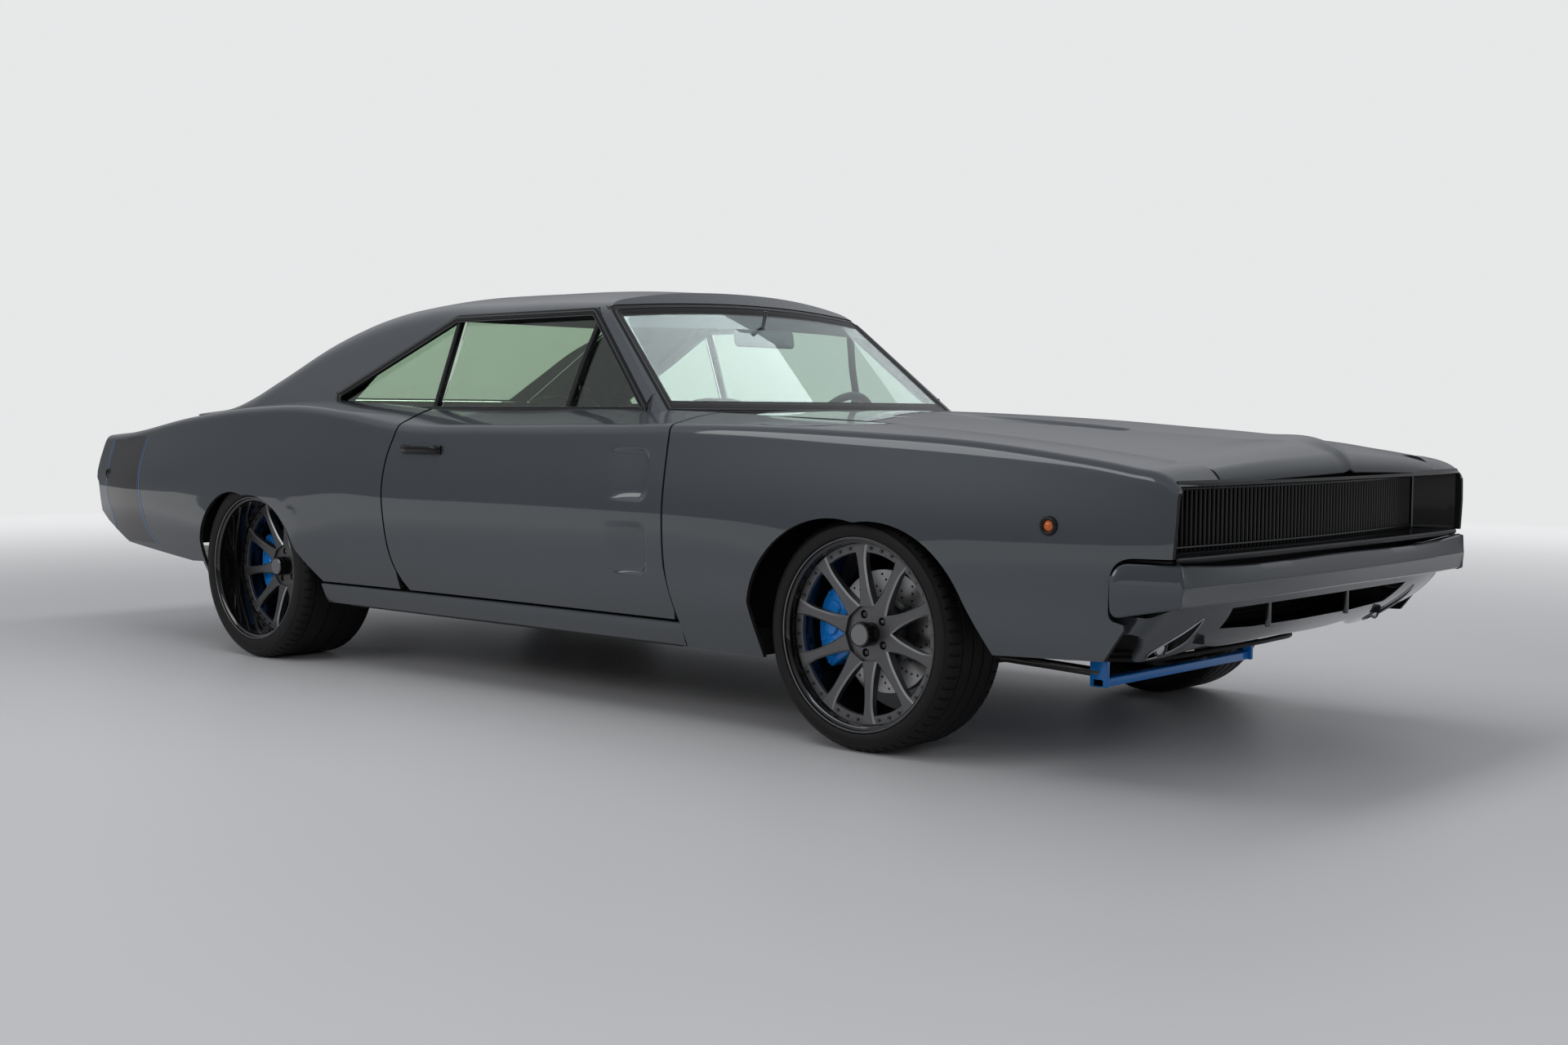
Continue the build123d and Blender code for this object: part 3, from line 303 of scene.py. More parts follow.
def mirrored(piece, name):
    """The piece's mirror image across the car, with its own mesh and its normals kept outward."""
    twin = copy_of(piece, name)
    normals = None
    if piece.data.has_custom_normals:
        normals = {}
        for face in piece.data.polygons:
            for v, corner_at in zip(face.vertices, face.loop_indices):
                n = piece.data.corner_normals[corner_at].vector
                normals[(face.index, v)] = Vector((n.x, -n.y, n.z))
    twin.data.transform(Matrix.Scale(-1, 4, (0, 1, 0)))
    twin.data.flip_normals()
    if normals:
        listed = [None] * len(twin.data.loops)
        for face in twin.data.polygons:
            for v, corner_at in zip(face.vertices, face.loop_indices):
                listed[corner_at] = normals[(face.index, v)]
        twin.data.normals_split_custom_set(listed)
    return twin


def settle(piece, outer, inner_slot=None, reach=0.0006):
    """Takes the shading of the uncut skin; cut walls stay flat and the back gets its own material slot."""
    tree = BVHTree.FromPolygons([v.co for v in outer.data.vertices],
                                [p.vertices for p in outer.data.polygons])
    corners = [v.normal for v in outer.data.vertices]
    quads = [tuple(p.vertices) for p in outer.data.polygons]
    normals = [None] * len(piece.data.loops)
    for face in piece.data.polygons:
        _, facing, _, away = tree.find_nearest(face.center)
        on_skin = away is not None and away < reach and abs(facing.dot(face.normal)) > 0.8
        flip = -1 if on_skin and facing.dot(face.normal) < 0 else 1
        face.use_smooth = bool(on_skin)
        if inner_slot is not None and not on_skin and facing.dot(face.normal) < 0.2 and away > 0.004:
            face.material_index = inner_slot
        for v, loop in zip(face.vertices, face.loop_indices):
            if not on_skin:
                normals[loop] = face.normal.copy()
                continue
            at = piece.data.vertices[v].co
            _, _, index, _ = tree.find_nearest(at)
            weights = [(1 / max((outer.data.vertices[k].co - at).length, 1e-5)**2, corners[k])
                       for k in quads[index]]
            total = sum(w for w, _ in weights)
            normals[loop] = (sum((n * (w / total) for w, n in weights), Vector()) * flip).normalized()
    piece.data.normals_split_custom_set(normals)
    return piece


def done(piece, body, slot, *nodes):
    """Hangs a finished piece on its CAD body and hides the nodes that it stands for; the slot is not used."""
    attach(piece, body)
    if nodes:
        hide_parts(*nodes)
    return piece


def hang_pair(piece, name, body, slot, node=None):
    """Hangs a left-hand piece and its mirror image on their bodies."""
    twin = mirrored(piece, name + "_right")
    piece.name = piece.data.name = name + "_left"
    for side, part in (("left", piece), ("right", twin)):
        nodes = [f"{node}_{side}"] if node else []
        done(part, body.format(side), slot, *nodes)


# ---- Body side -----------------------------------------------------------------------


def side_at(x):
    """The body side at x: heights with their widths, the crease and the upper edge."""
    sill, lower, wide, crease_y, crease_z, top_y, top_z = smooth(SIDE, x)
    face = list(zip(SIDE_HEIGHTS, (sill, lower, wide))) + [(crease_z, crease_y)]
    return face, crease_y, crease_z, top_y, top_z


def skin_y(x, z):
    """Half width of the body side at a place."""
    return smooth(side_at(x)[0], z)[0]


SCALLOPS = [(0.680, 0.840), (0.450, 0.610)]
SCALLOP_FRONT, SCALLOP_FADE, SCALLOP_DEPTH, SCALLOP_EDGE = FRONT_AXLE - 0.804, 0.20, 0.013, 0.012


def scallop(x, z):
    """How far the two recesses of a door sink its skin."""
    deep = 0
    for low, high in SCALLOPS:
        half = (high - low) / 2
        middle = (low + high) / 2
        round_r = 0.035
        dx = x - (SCALLOP_FRONT - round_r)
        dz = abs(z - middle) - (half - round_r)
        edge = round_r - math.hypot(max(dx, 0), max(dz, 0)) if dx > 0 and dz > 0 else round_r - max(dx, dz)
        inside = ramp(-SCALLOP_EDGE * 0.2, SCALLOP_EDGE, edge)
        fade = ramp(SCALLOP_FRONT - SCALLOP_FADE, SCALLOP_FRONT - 0.02, x)
        deep = max(deep, SCALLOP_DEPTH * inside * fade)
    return deep


def side_ring(x, heights, door=False):
    """The outer line at x: up the side, over the rounded crease and in to the upper edge."""
    face, crease_y, crease_z, top_y, top_z = side_at(x)
    turn, ring = CREASE_TURN, []
    for share in heights:
        z = SIDE_HEIGHTS[0] + (crease_z - turn - SIDE_HEIGHTS[0]) * share
        y = min(smooth(face, z)[0], WIDEST)
        ring.append((x, y - (scallop(x, z) if door else 0), z))
    start = ring.pop()
    edge = math.dist((crease_y, crease_z), (top_y, top_z))
    end = (x, crease_y + (top_y - crease_y) * turn / edge, crease_z + (top_z - crease_z) * turn / edge)
    ring += corner(start, (x, crease_y, crease_z), end, 7)
    for k in range(1, 9):
        t = k / 8
        y, z = end[1] + (top_y - end[1]) * t, end[2] + (top_z - end[2]) * t
        ring.append((x, y, z + 0.003 * math.sin(math.pi * t)))
    ahead_of = max(0.0, x - (FRONT_AXLE + 0.991 - NOSE_ROLL)) / NOSE_ROLL
    drop_z = 0.3 * NOSE_ROLL * (1 - math.sqrt(max(0.0, 1 - min(1.0, ahead_of)**2)))
    return [(px, y, z - drop_z * ramp(0.690, 0.780, z)) for px, y, z in ring]


def folded(ring, depth=SKIN):
    """An outer line and its inner line, as one closed ring."""
    inner, shelf = [], len(ring) - CREASE_POINTS
    for k, (x, y, z) in enumerate(ring):
        if k < shelf:
            inner.append((x, y - depth, min(z, ring[-9][2] - depth)))
        else:
            inner.append((x, min(y, ring[shelf][1] - depth), z - depth))
    return ring + inner[::-1]


def panel(name, xs, cuts, ring_of, thick_of=folded):
    """A smooth panel cut to its outline, returned with its uncut skin for shading later."""
    rings = [ring_of(x) for x in xs]
    outer = tidy_open(loft(name + "_skin", rings, closed=False))
    piece = tidy(loft(name, [thick_of(ring) for ring in rings]))
    for cutter, how in cuts:
        carve(piece, cutter, how)
    return piece, outer


def tidy_open(piece):
    """Points an open skin's faces away from the car's middle."""
    shape = bmesh.new()
    shape.from_mesh(piece.data)
    bmesh.ops.recalc_face_normals(shape, faces=shape.faces)
    shape.normal_update()
    total = sum(f.normal.dot(f.calc_center_median() - Vector((f.calc_center_median().x, 0, 0.5)))
                for f in shape.faces)
    if total < 0:
        bmesh.ops.reverse_faces(shape, faces=shape.faces)
    shape.to_mesh(piece.data)
    shape.free()
    return piece


# ---- Outlines ------------------------------------------------------------------------
DOOR_FRONT = ahead([(-0.712, 1.100), (-0.728, 0.760), (-0.729, 0.600), (-0.719, 0.450), (-0.691, 0.300),
                    (-0.673, 0.150)])
DOOR_REAR = behind([(0.906, 1.100), (0.889, 0.900), (0.846, 0.800), (0.827, 0.690), (0.839, 0.560),
                    (0.881, 0.400), (0.926, 0.322)])
DOOR_LOW = 0.322


def arc(a, b, c, count):
    """Points on the circle through three points, from the first to the last."""
    (ax, ay), (bx, by), (cx, cy) = a, b, c
    d = 2 * (ax * (by - cy) + bx * (cy - ay) + cx * (ay - by))
    ux = ((ax**2 + ay**2) * (by - cy) + (bx**2 + by**2) * (cy - ay) + (cx**2 + cy**2) * (ay - by)) / d
    uy = ((ax**2 + ay**2) * (cx - bx) + (bx**2 + by**2) * (ax - cx) + (cx**2 + cy**2) * (bx - ax)) / d
    r = math.hypot(ax - ux, ay - uy)
    t0, t1, t2 = (math.atan2(p[1] - uy, p[0] - ux) for p in (a, b, c))
    turn = (t2 - t0) % (2 * math.pi)
    if (t1 - t0) % (2 * math.pi) > turn:
        turn -= 2 * math.pi
    return [(ux + r * math.cos(t0 + turn * k / (count - 1)), uy + r * math.sin(t0 + turn * k / (count - 1)))
            for k in range(count)]


def arch(points):
    """A wheel opening: two arcs over the wheel and feet that bend away."""
    rear_foot, rear_hub, crown_rear, crown, crown_front, front_hub, front_foot = points
    over = arc(rear_hub, crown_rear, crown, 18) + arc(crown, crown_front, front_hub, 18)[1:]
    return [rear_foot] + over + [front_foot]


FRONT_ARCH = arch(ahead([(-0.362, 0.200), (-0.387, 0.400), (-0.272, 0.582), (0.020, 0.651), (0.262, 0.603),
                         (0.392, 0.454), (0.532, 0.200)]))
REAR_ARCH = arch(behind([(-0.348, 0.200), (-0.353, 0.440), (-0.260, 0.588), (-0.040, 0.626), (0.168, 0.587),
                         (0.312, 0.436), (0.560, 0.200)]))
FENDER = (bend(DOOR_FRONT, 24) + ahead([(0.440, 0.150), (0.440, 0.318), (0.795, 0.330), (0.858, 0.415),
                                        (0.858, 0.428)])
          + corner((FRONT_AXLE + 0.838, 0.433), (FRONT_AXLE + 0.817, 0.435), (FRONT_AXLE + 0.817, 0.458), 5)
          + corner((FRONT_AXLE + 0.821, 0.540), (FRONT_AXLE + 0.826, 0.594), (FRONT_AXLE + 0.885, 0.5965), 9)
          + ahead([(0.984, 0.598), (0.990, 0.690), (0.991, 0.760), (0.991, 1.100)]))
QUARTER = ([(x - GAP, z) for x, z in bend(DOOR_REAR, 24)]
           + behind([(0.911, 0.322), (0.401, 0.322), (0.401, 0.150), (-0.349, 0.150), (-0.369, 0.352),
                     (-0.453, 0.349), (-0.993, 0.398), (-1.183, 0.481), (-1.248, 0.520), (-1.266, 0.580),
                     (-1.284, 0.640), (-1.305, 0.660), (-1.306, 0.690), (-1.290, 0.740), (-1.262, 0.800),
                     (-1.238, 0.838)])
           + behind([(-1.215, 1.100)]))
DOOR = ([(x - GAP, z) for x, z in bend(DOOR_FRONT, 24) if z > 0.45]
        + [(FRONT_AXLE - 0.705, DOOR_LOW + 0.03), (FRONT_AXLE - 0.712, DOOR_LOW),
           (REAR_AXLE + 0.936, DOOR_LOW)]
        + [p for p in bend(DOOR_REAR, 24)[::-1] if p[1] > DOOR_LOW + 0.005])
WINDOW = (ahead([(-0.971, 0.900), (-0.974, 0.966), (-1.352, RAIL - 0.018)])
          + behind([(0.877, RAIL - 0.021), (0.268, 1.021), (0.290, 0.968), (0.310, 0.900)]))


def colour_setting(name, description, default):
    """A colour for the panel."""
    return bpy.props.FloatVectorProperty(name=name, description=description, subtype="COLOR", size=3, min=0,
                                         max=1, default=default)


def length_setting(name, description, default, least, most):
    """A length for the panel."""
    return bpy.props.FloatProperty(name=name, description=description, default=default, min=least, max=most,
                                   subtype="DISTANCE", unit="LENGTH")


class CAR_PG_colours(bpy.types.PropertyGroup):
    """Colours of the car's finishes"""
    paint: colour_setting("Paint", "Gloss paint of the body panels", (0.046, 0.053, 0.061))
    band: colour_setting("Tail band", "Dark field of the band around the tail", (0.022, 0.021, 0.022))
    line_blue: colour_setting("Band lines", "Thin lines at the edges of the tail band", (0.07, 0.14, 0.26))
    blue: colour_setting("Calipers", "Brake calipers and front crossbar", (0.010, 0.230, 0.720))
    rim: colour_setting("Rim faces", "Dark metal of the spokes and bolt rings", (0.110, 0.110, 0.114))
    leather: colour_setting("Seats", "Leather of the seats", (0.016, 0.016, 0.017))
    lamp: colour_setting("Side markers", "Amber lenses of the front side markers", (0.42, 0.085, 0.004))


class CAR_PG_sizes(bpy.types.PropertyGroup):
    """Sizes and counts of the car's details"""
    spokes: bpy.props.IntProperty(name="Spokes", description="Spokes of each rim", default=10, min=5, max=20)
    slats: bpy.props.IntProperty(name="Grille bars", description="Upright bars of the grille", default=76,
                                 min=20, max=120)
    bar_width: length_setting("Grille bar width", "Width of an upright bar of the grille", 0.0064, 0.002,
                              0.012)
    mirror_width: length_setting("Mirror width", "Width of the interior mirror", 0.310, 0.15, 0.36)
    brace: length_setting("Brace", "Radius of the steel tubes under the nose", 0.014, 0.006, 0.025)
    light: bpy.props.FloatProperty(name="Lights",
                                   description="Strength of the soft lights, as a share of the usual",
                                   default=1.0, min=0, max=5, subtype="FACTOR")
    lens: bpy.props.FloatProperty(name="Lens", description="Focal length of the camera", default=42.41,
                                  min=10, max=200,
                                  subtype="DISTANCE_CAMERA", unit="CAMERA")


class Piece:
    """Shared by every operator of the car"""
    bl_options = {"REGISTER", "UNDO"}


def finish_panel(piece, outer, name, body, node):
    """Shades and paints a left-hand panel, and hangs it with its mirror image."""
    wears(piece, "paint", "underbody")
    settle(piece, outer, inner_slot=1)
    drop(outer)
    hang_pair(piece, name, body, "paint", node)


class CAR_OT_front_fenders(Piece, bpy.types.Operator):
    """Front wings with rounded creases and wheel openings"""
    bl_idname = "car.front_fenders"
    bl_label = "Front wings"

    def execute(self, context):
        xs = spread(FRONT_JOIN - 0.003, FRONT_AXLE + 0.992, 0.016,
                    [(FRONT_AXLE + 0.955, FRONT_AXLE + 0.992, 0.003)])
        piece, outer = panel("front_wing_left", xs,
                             [(prism("outline", FENDER, *PANEL_REACH), "INTERSECT"),
                              (prism("arch", FRONT_ARCH, *ARCH_REACH), "DIFFERENCE"),
                              (box("grille_mouth", (2.50, 2.70), (0.60, 0.866), (0.45, 0.776)),
                               "DIFFERENCE")],
                             lambda x: side_ring(x, SIDE_ROWS))
        finish_panel(piece, outer, "front_wing", "body", "front_fender")
        return {"FINISHED"}


class CAR_OT_rear_quarters(Piece, bpy.types.Operator):
    """Rear quarters over the wide rear wheels"""
    bl_idname = "car.rear_quarters"
    bl_label = "Rear quarters"

    def execute(self, context):
        xs = spread(REAR_AXLE - 1.309, REAR_JOIN - 0.001, 0.016)
        piece, outer = panel("rear_quarter_left", xs,
                             [(prism("outline", QUARTER, *PANEL_REACH), "INTERSECT"),
                              (prism("arch", REAR_ARCH, *ARCH_REACH), "DIFFERENCE")],
                             lambda x: side_ring(x, SIDE_ROWS))
        finish_panel(piece, outer, "rear_quarter", "body", "quarter_panel")
        return {"FINISHED"}


class CAR_OT_doors(Piece, bpy.types.Operator):
    """Doors with two shallow recesses each"""
    bl_idname = "car.doors"
    bl_label = "Doors"

    def execute(self, context):
        xs = spread(REAR_AXLE + 0.750, FRONT_AXLE - 0.640, 0.018,
                    [(SCALLOP_FRONT - 0.20, SCALLOP_FRONT - 0.05, 0.009),
                     (SCALLOP_FRONT - 0.05, SCALLOP_FRONT + 0.006, 0.0035)])
        low, span = SIDE_HEIGHTS[0], 0.656
        edges = sorted(z for pair in SCALLOPS for z in pair)
        heights = [(z - low) / span for z in spread(low, low + span, 0.020,
                                                    [(z - 0.014, z + 0.014, 0.004) for z in edges])]
        heights = [h / heights[-1] for h in heights]

        def thick(ring):
            x, y, z = ring[-1]
            return ring + [(x, y, z - 0.030), (x, 0.790, z - 0.070), (x, 0.790, SIDE_HEIGHTS[0])]

        piece, outer = panel("door_left", xs, [(prism("outline", DOOR, *PANEL_REACH), "INTERSECT")],
                             lambda x: side_ring(x, heights, door=True), thick)
        wears(piece, "paint", "door_trim")
        settle(piece, outer)
        for face in piece.data.polygons:
            if face.center.y < 0.80 and face.normal.y < -0.3:
                face.material_index = 1
        drop(outer)
        hang_pair(piece, "door_skin", "door_{}", "paint", "door")
        return {"FINISHED"}


# ---- Roof, screen, hood and lids -----------------------------------------------------


def lean_y(z):
    """Half width of the leaning cabin at a height."""
    return LEAN_Y - (z - LEAN_Z) * LEAN


def roof_ring(x, inset=0.0, sink=0.0, foot=0.930):
    """From the left foot up the leaning side, over the crown and down to the right foot."""
    edge_z, centre_z = smooth(ROOF, x)
    edge_z, centre_z, foot = edge_z - sink, min(centre_z, CROWN - 0.0005) - sink, foot - sink
    edge_y = lean_y(edge_z + sink) - inset

    def side(z):
        return edge_y + (edge_z - z) * LEAN

    turn = min(0.055, (edge_z - foot) * 0.6)
    reach = min(0.075, edge_y * 0.2)

    def crown(y):
        return centre_z - (centre_z - edge_z) * (abs(y) / edge_y) ** 2.3

    half = [(side(foot + (edge_z - turn - foot) * k / 9), foot + (edge_z - turn - foot) * k / 9)
            for k in range(10)]
    half += corner(half.pop(), (edge_y, edge_z), (edge_y - reach, crown(edge_y - reach)), 8)
    inner = edge_y - reach
    half += [(inner * (1 - k / 14), crown(inner * (1 - k / 14))) for k in range(1, 14)]
    return ([(x, y, z) for y, z in half] + [(x, 0, centre_z)] + [(x, -y, z) for y, z in half[::-1]])


SCREEN_ALONG = Vector((SCREEN_TOP[0] - SCREEN_BASE[0], 0, SCREEN_TOP[1] - SCREEN_BASE[1])).normalized()
SCREEN_IN = Vector((-SCREEN_ALONG.z, 0, SCREEN_ALONG.x))


def on_screen(y, along, depth=0.0):
    """A point of the windshield's leaning cylinder, sunk by a depth."""
    return (Vector((SCREEN_BASE[0], y, SCREEN_BASE[1])) + SCREEN_ALONG * along
            + SCREEN_IN * (y * y / (2 * SCREEN_RADIUS) + depth))


def screen_at(y, z, depth=0.0):
    """The same at a height."""
    start = on_screen(y, 0, depth)
    return start + SCREEN_ALONG * ((z - start.z) / SCREEN_ALONG.z)


def before_screen(depth, half=1.0, reach=0.6):
    """All that lies ahead of the windshield's surface, sunk by a depth."""
    rings = []
    for along in (-0.6, 0.9):
        line = [on_screen(half * (k / 20 - 1), along, depth) for k in range(41)]
        out = [line[-1] - SCREEN_IN * reach, line[0] - SCREEN_IN * reach]
        rings.append(line + out)
    return tidy(loft("before_screen", rings), TIGHT)


TRIM_LOW, TRIM_TOP = (0.752, 0.962), (0.640, HEADER - 0.056)
SCREEN_LOW = 0.950


def screen_outline(lap, round_r=0.03):
    """The windshield's outline from the front, a lap smaller all round, with soft corners."""
    low, top = (TRIM_LOW[0] - lap, SCREEN_LOW), (TRIM_TOP[0] - lap, TRIM_TOP[1] - lap)
    crown_z = HEADER - 0.030 - lap

    def header(y):
        return crown_z - (crown_z - top[1]) * (y / top[0]) ** 2

    lean = (low[0] - top[0]) / (top[1] - low[1])
    right = [low] + corner((top[0] + lean * round_r, top[1] - round_r), top,
                           (top[0] - round_r, header(top[0] - round_r)), 6)
    right += [(y, header(y)) for y in [top[0] * (1 - k / 8) for k in range(1, 8)] if y < top[0] - round_r]
    return right + [(0, crown_z)] + [(-y, z) for y, z in right[::-1]]


class CAR_OT_roof(Piece, bpy.types.Operator):
    """Roof, pillars and sails in one smooth shell with its openings"""
    bl_idname = "car.roof"
    bl_label = "Roof and sails"

    def execute(self, context):
        xs = spread(REAR_AXLE - 0.659, FRONT_AXLE - 0.735, 0.022)
        rings = [roof_ring(x) for x in xs]
        outer = tidy_open(loft("roof_skin", rings, closed=False))
        piece = tidy(loft("roof_shell", rings))
        void = tidy(loft("cabin_void", [roof_ring(x, 0.048, 0.028) for x in xs]))
        rear = REAR_AXLE - 0.080
        carve(void, prism("cabin_side", [(FRONT_AXLE, 0.860), (FRONT_AXLE, CROWN),
                                         (REAR_AXLE + 0.551, CROWN - 0.070), (rear, 0.915),
                                         (rear, 0.860)], *CABIN_REACH), "INTERSECT")
        carve(void, before_screen(0.028))
        carve(piece, before_screen(0.0))
        rebate = before_screen(0.012)
        carve(rebate, prism("screen_edge", screen_outline(0), *SCREEN_REACH, "x"), "INTERSECT")
        carve(piece, rebate)
        carve(piece, prism("screen_hole", screen_outline(0.040), *SCREEN_REACH, "x"))
        carve(piece, void)
        carve(piece, prism("windows", WINDOW, *CABIN_REACH))
        top, low = (REAR_AXLE + 0.520, CROWN - 0.042), (REAR_AXLE - 0.130, 0.985)
        tunnel = prism("tunnel", [top, (REAR_AXLE + 0.591, 1.5), (REAR_AXLE - 0.949, 1.5),
                                  (REAR_AXLE - 0.949, 0.9), (REAR_AXLE - 0.139, 0.9), low], *CABIN_REACH)
        carve(tunnel, prism("tunnel_plan", [(REAR_AXLE + 0.591, 0.560), (REAR_AXLE - 0.749, 0.646),
                                            (REAR_AXLE - 0.749, -0.646), (REAR_AXLE + 0.591, -0.560)], 0.8,
                            1.6, "z"),
              "INTERSECT")
        carve(piece, tunnel)
        run = Vector((top[0] - low[0], 0, top[1] - low[1])).normalized()
        out = Vector((-run.z, 0, run.x))
        a, b = Vector((low[0], 0, low[1])) + run * 0.045, Vector((top[0], 0, top[1])) - run * 0.045
        hole = [a + out * 0.06, b + out * 0.06, b - out * 0.14, a - out * 0.14]
        carve(piece, prism("backlight_hole", [(p.x, p.z) for p in hole], -0.5, 0.5))
        wears(piece, "paint", "headliner")
        settle(piece, outer, inner_slot=1)
        for face in piece.data.polygons:
            if face.center.x < REAR_AXLE - 0.35:
                face.material_index = 0
        drop(outer)
        done(piece, "body", "paint", "roof")
        return {"FINISHED"}


def lid_height(table, x, y):
    """Height of a lid with soft shoulders."""
    half, edge, _, centre = smooth(table, x)
    return edge + (centre - edge) * (1 - min(abs(y) / half, 1)**2.2)


HOOD_REAR_MIDDLE, HOOD_ROLL = FRONT_AXLE - 0.763, 0.034


def rolled(radius, reach):
    """How far an edge rounded to a radius has dropped at a reach from its end."""
    return radius * (1 - math.sqrt(max(0, 1 - max(0, 1 - reach / radius)**2)))


def hood_ends(y):
    """Rear and front edge of the hood at a distance from the middle."""
    return (HOOD_REAR_MIDDLE + 0.205 * abs(y / 0.7)**2.4, NOSE - 0.008 - 0.040 * (y / 0.7)**2)


def hood_dip(x, y):
    """Depth of the twin hood scallops, which deepen towards their front walls."""
    side = abs(y)
    inner = 0.135 + 0.05 * ramp(1.30, 2.05, x)
    outer = 0.470 - 0.235 * ramp(1.25, 2.06, x)
    across = ramp(inner - 0.006, inner + 0.016, side) * (1 - ramp(outer - 0.020, outer + 0.030, side))
    along = ramp(1.20, 1.85, x) * (1 - ramp(2.045, 2.075, x - 0.10 * (side - 0.19)))
    return 0.015 * across * along


def hood_height(x, y):
    """The hood's top: soft shoulders, and a pointed middle panel that ends in a peak at the nose."""
    half, edge, _, centre = smooth(HOOD, x)
    t = min(abs(y) / half, 1)
    tent = 0.20 + 0.30 * ramp(1.2, 2.5, x)
    low = edge + (centre - edge) * ((1 - tent) * (1 - t**2.2) + tent * (1 - t))
    prow = 0.015 + 0.205 * max(0, (NOSE - x) / 0.6)**0.62
    return low + 0.009 * ramp(1.15, 2.1, x) * (max(0.0, 1 - abs(y) / prow) - 0.35) - hood_dip(x, y)


class CAR_OT_hood(Piece, bpy.types.Operator):
    """Hood with a pointed middle and two scallops"""
    bl_idname = "car.hood"
    bl_label = "Hood"

    def execute(self, context):
        long = NOSE - HOOD_REAR_MIDDLE
        along = [u / long for u in spread(0, long, 0.014, [(1.15, 1.22, 0.006), (long - 0.045, long, 0.004)])]
        across = spread(0, 1, 0.022, [(0.17, 0.32, 0.010)])
        across = [-a for a in across[:0:-1]] + across
        rings = []
        for u in along:
            top, low = [], []
            for a in across:
                start, end = hood_ends(a * 0.67)
                x = start + (end - start) * u
                y = a * smooth(HOOD, x)[0]
                d = (1 - u) * (end - start)
                roll = rolled(HOOD_ROLL, d)
                z = hood_height(x, y) - roll
                back = min(LID_SKIN, 0.003 + 0.5 * d)
                top.append((x, y, z))
                low.append((x - 0.004 * (1 - min(1, d / HOOD_ROLL)), y, z - back))
            rings.append(top + low[::-1])
        piece = tidy(loft("hood_panel", rings), TIGHT)
        smooth_shape(piece, 32)
        wears(piece, "paint", "underbody")
        for face in piece.data.polygons:
            if face.normal.z < -0.5:
                face.material_index = 1
        done(piece, "hood", "paint", "hood")
        return {"FINISHED"}


class CAR_OT_trunk_lid(Piece, bpy.types.Operator):
    """Trunk lid"""
    bl_idname = "car.trunk_lid"
    bl_label = "Trunk lid"

    def execute(self, context):
        rings = []
        for x in spread(REAR_AXLE - 1.222, REAR_AXLE - 0.309, 0.030):
            half = smooth(TRUNK, x)[0]
            rings.append([(x, half * (k / 20 - 1), lid_height(TRUNK, x, half * (k / 20 - 1)))
                          for k in range(41)])
        outer = tidy_open(loft("trunk_skin", rings, closed=False))
        piece = tidy(loft("trunk_panel", [r + [(x, y, z - LID_SKIN) for x, y, z in r[::-1]] for r in rings]))
        wears(piece, "paint", "underbody")
        settle(piece, outer, inner_slot=1)
        drop(outer)
        done(piece, "trunk_lid", "paint", "trunk_lid")
        return {"FINISHED"}


# ---- Shared small shapes -------------------------------------------------------------


def tube(name, path, radius, sides=8, closed=False):
    """A round bar along the points of a path."""
    spots = [Vector(p) for p in path]
    rings, side = [], None
    for i, spot in enumerate(spots):
        before = spots[i - 1] if closed or i else spot
        after = spots[(i + 1) % len(spots)] if closed or i < len(spots) - 1 else spot
        run = (after - before).normalized()
        side = run.orthogonal().normalized() if side is None else (side - run * side.dot(run)).normalized()
        over = run.cross(side)
        thick = radius[i] if isinstance(radius, (list, tuple)) else radius
        rings.append([spot + (side * math.cos(a) + over * math.sin(a)) * thick
                      for a in turns(sides)])
    if closed:
        rings.append(rings[0])
    piece = tidy(loft(name, rings, capped=not closed), TIGHT)
    alone(piece)
    bpy.ops.object.shade_smooth_by_angle(angle=math.radians(50))
    return piece


def steady(piece):
    """Lists the faces in a fixed order, because a spin gives them in another order on each run."""
    faces = []
    for face in piece.data.polygons:
        ring = list(face.vertices)
        start = ring.index(min(ring))
        faces.append(ring[start:] + ring[:start])
    points = [tuple(v.co) for v in piece.data.vertices]
    piece.data.clear_geometry()
    piece.data.from_pydata(points, [], sorted(faces))


def turned(name, profile, segments, spot, smooth_angle=35):
    """A profile of (radius, offset along y) spun about an axis along y through a spot."""
    piece = mesh_object(name, [(spot[0] + r, spot[1] + o, spot[2]) for r, o in profile], [])
    piece.data.edges.add(len(profile) - 1)
    for k, edge in enumerate(piece.data.edges):
        edge.vertices = (k, k + 1)
    alone(piece)
    bpy.ops.object.mode_set(mode="EDIT")
    bpy.ops.mesh.select_all(action="SELECT")
    bpy.ops.mesh.spin(steps=segments, angle=2 * math.pi, center=spot, axis=(0, 1, 0))
    bpy.ops.mesh.select_all(action="SELECT")
    bpy.ops.mesh.remove_doubles(threshold=0.00003)
    bpy.ops.mesh.normals_make_consistent(inside=False)
    bpy.ops.object.mode_set(mode="OBJECT")
    steady(piece)
    bpy.ops.object.shade_smooth_by_angle(angle=math.radians(smooth_angle))
    return piece


def joined(name, pieces):
    """Several meshes as one piece."""
    alone(pieces[0])
    for piece in pieces:
        piece.select_set(True)
    if len(pieces) > 1:
        bpy.ops.object.join()
    whole = bpy.context.object
    whole.name = whole.data.name = name
    return whole


def wears(piece, *finishes):
    """Adds finishes to a piece's slots, in order."""
    for finish in finishes:
        piece.data.materials.append(finish_named(finish))


def finished(name, pieces, finish, body, slot, *nodes):
    """Joins pieces into one, paints it and hangs it on its body."""
    return done(painted(joined(name, pieces), finish), body, slot, *nodes)


def hang_joined(name, pieces, finish, body, slot, node=None):
    """Joins left-hand pieces into one, paints it and hangs it with its mirror image."""
    hang_pair(painted(joined(name, pieces), finish), name, body, slot, node)


def painted(piece, finish):
    """Gives a piece one finish all over."""
    piece.data.materials.clear()
    wears(piece, finish)
    return piece


